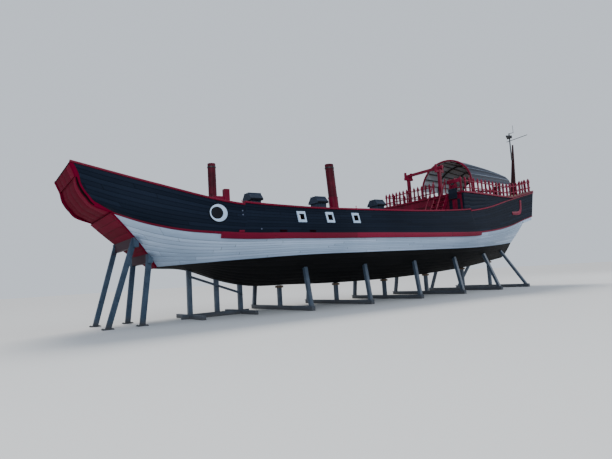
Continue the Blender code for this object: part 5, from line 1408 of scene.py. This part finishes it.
# Steel, with timber packing under the keel, foot plates and their bolts, and a brace across the fore posts.
def cradle():
    v = cradleValues
    for node in nodes:
        if node.startswith("cradle_"):
            softened(node, "propSteel" if "prop" in node else "cradleSteel", 0.01)
    x = np.array(v["frames"])
    block = np.stack([x, 0 * x + 0.19, heightOn(keelLine, x) - 0.075], -1)
    piece("keelPacking", bars(mirrored(block, -1), block, 0.27, 0.11, 0.012), "packingTimber")
    steel, inset = v["steel"], v["plate"] / 2 - 0.05
    feet, ends = (np.array([(fx, hand * y) for fx, y in pairs for hand in (1, -1)]) for pairs in (
        v["propFeet"], [(fx, v["beamEnd"]) for fx in v["frames"]]))
    plates = [bars(atHeight(ends - (0, 0.24), steel), atHeight(ends + (0, 0.13), steel), 0.17, 0.024, 0.004)]
    footBolts = feet[:, None] + inset * np.array([(1, 1), (1, -1), (-1, 1), (-1, -1)])
    endBolts = ends[:, None] + np.array([(-0.055, -0.19), (0.055, -0.19), (-0.055, 0.1), (0.055, 0.1)])
    bolts = [domes(atHeight(footBolts.reshape(-1, 2), 0.04), (0, 0, 1), 0.026, 0.022, 12),
             domes(atHeight(endBolts.reshape(-1, 2), steel + 0.011), (0, 0, 1), 0.018, 0.015, 12)]
    piece("cradleBolts", bolts, "blackIron")
    (x0, z0), (x1, z1) = v["brace"]
    side = steel / 2 + 0.004
    plates.append(bars((x0, side, z0), (x1, side, z1), 0.014, 0.11, 0.003))
    plates.append(bars((x0, side + 0.045, z0 - 0.048), (x1, side + 0.045, z1 - 0.048), 0.09, 0.014, 0.003))
    piece("cradlePlates", plates, "cradleSteel")


for stage, steps in {
    "hull": (topsides, gunportFrames, whiteSide, darkBottom, wales, capRails, deckPlanks, poopDeck,
             poopSides),
    "bow": (cheeks, bowBoards, bowShadowStrips, breastCoping, bowPlate, eyes, quarterTrim, sideTrims),
    "poop": (balustrades, poopCorner, masts, awningCover, awningBattens, awningFrame),
    "fittings": (hatchHouses, windlass, cabin, fittings, rudderIrons, cradle),
}.items():
    print(stage)
    for step in steps:
        step()


# Stage. The world lights the object with one colour and shows another behind it.

stageValues = {"floor": 400.0, "floorColour": (0.6, 0.6, 0.59, 1.0), "light": (0.74, 0.84, 1.0, 1.0),
               "lightStrength": 0.66, "backdrop": (0.72, 0.79, 0.88, 1.0), "backdropStrength": 1.0,
               "camera": (17.83, 20.854, 1.559), "yaw": -124.785, "pitch": 5.577, "roll": -3.528,
               "focal": 480.46, "frameWidth": 612.0, "sensor": 36.0}


def floorAndWorld():
    v = stageValues
    corners = np.array([(-1, -1), (1, -1), (1, 1), (-1, 1)]) * v["floor"] / 2
    mesh = bpy.data.meshes.new("floor")
    mesh.from_pydata(atHeight(corners, -0.001).tolist(), [], [(0, 1, 2, 3)])
    mesh.materials.append(Finish("paleFloor").done(v["floorColour"], 0.9))
    placed("floor", mesh)
    world = bpy.data.worlds.new("studio")
    bpy.context.scene.world = world
    world.use_nodes = True
    tree = world.node_tree
    shades = [tree.nodes["Background"], tree.nodes.new("ShaderNodeBackground")]
    either = tree.nodes.new("ShaderNodeMixShader")
    tree.links.new(tree.nodes.new("ShaderNodeLightPath").outputs["Is Camera Ray"], either.inputs[0])
    for k, (shade, key) in enumerate(zip(shades, ("light", "backdrop")), start=1):
        shade.inputs["Color"].default_value = v[key]
        shade.inputs["Strength"].default_value = v[key + "Strength"]
        tree.links.new(shade.outputs[0], either.inputs[k])
    tree.links.new(either.outputs[0], tree.nodes["World Output"].inputs["Surface"])


# Soft lamps. A sun has its width in degrees, an area lamp its side in metres.
lampValues = {
    "sun": {"from": (-5, -16, 21), "width": 24.0, "strength": 2.9, "colour": (1.0, 0.96, 0.9)},
    "fill": {"from": (30, 36, 20), "aim": (2, 0, 3), "side": 24.0, "strength": 9000.0,
             "colour": (0.86, 0.93, 1.0)},
    "stern": {"from": (-36, 16, 18), "aim": (-6, 0, 4), "side": 16.0, "strength": 3600.0,
              "colour": (0.93, 0.96, 1.0)},
}


def lamps():
    for name, v in lampValues.items():
        aim, start = Vector(v.get("aim", (0, 0, 0))), Vector(v["from"])
        lamp = bpy.data.lights.new(name + "Lamp", "AREA" if "side" in v else "SUN")
        lamp.color, lamp.energy = v["colour"], v["strength"]
        if "side" in v:
            lamp.size = v["side"]
        else:
            lamp.angle = math.radians(v["width"])
        made = placed(name + "Lamp", lamp)
        made.location = start
        made.rotation_euler = (aim - start).to_track_quat("-Z", "Y").to_euler()


# Camera from its turn about the vertical, its tilt and its roll.
def camera():
    v = stageValues
    yaw, pitch, roll = (math.radians(v[key]) for key in ("yaw", "pitch", "roll"))
    ahead = Vector((math.cos(pitch) * math.cos(yaw), math.cos(pitch) * math.sin(yaw), math.sin(pitch)))
    level = Vector((math.sin(yaw), -math.cos(yaw), 0.0))
    above = level.cross(ahead)
    right = level * math.cos(roll) + above * math.sin(roll)
    up = above * math.cos(roll) - level * math.sin(roll)
    lens = bpy.data.cameras.new("camera")
    lens.sensor_width = v["sensor"]
    lens.lens = v["focal"] / v["frameWidth"] * v["sensor"]
    lens.clip_end = 1000.0
    made = placed("camera", lens)
    made.matrix_world = Matrix.Translation(v["camera"]) @ Matrix((right, up, -ahead)).transposed().to_4x4()
    bpy.context.scene.camera = made


print("stage")
floorAndWorld()
lamps()
camera()
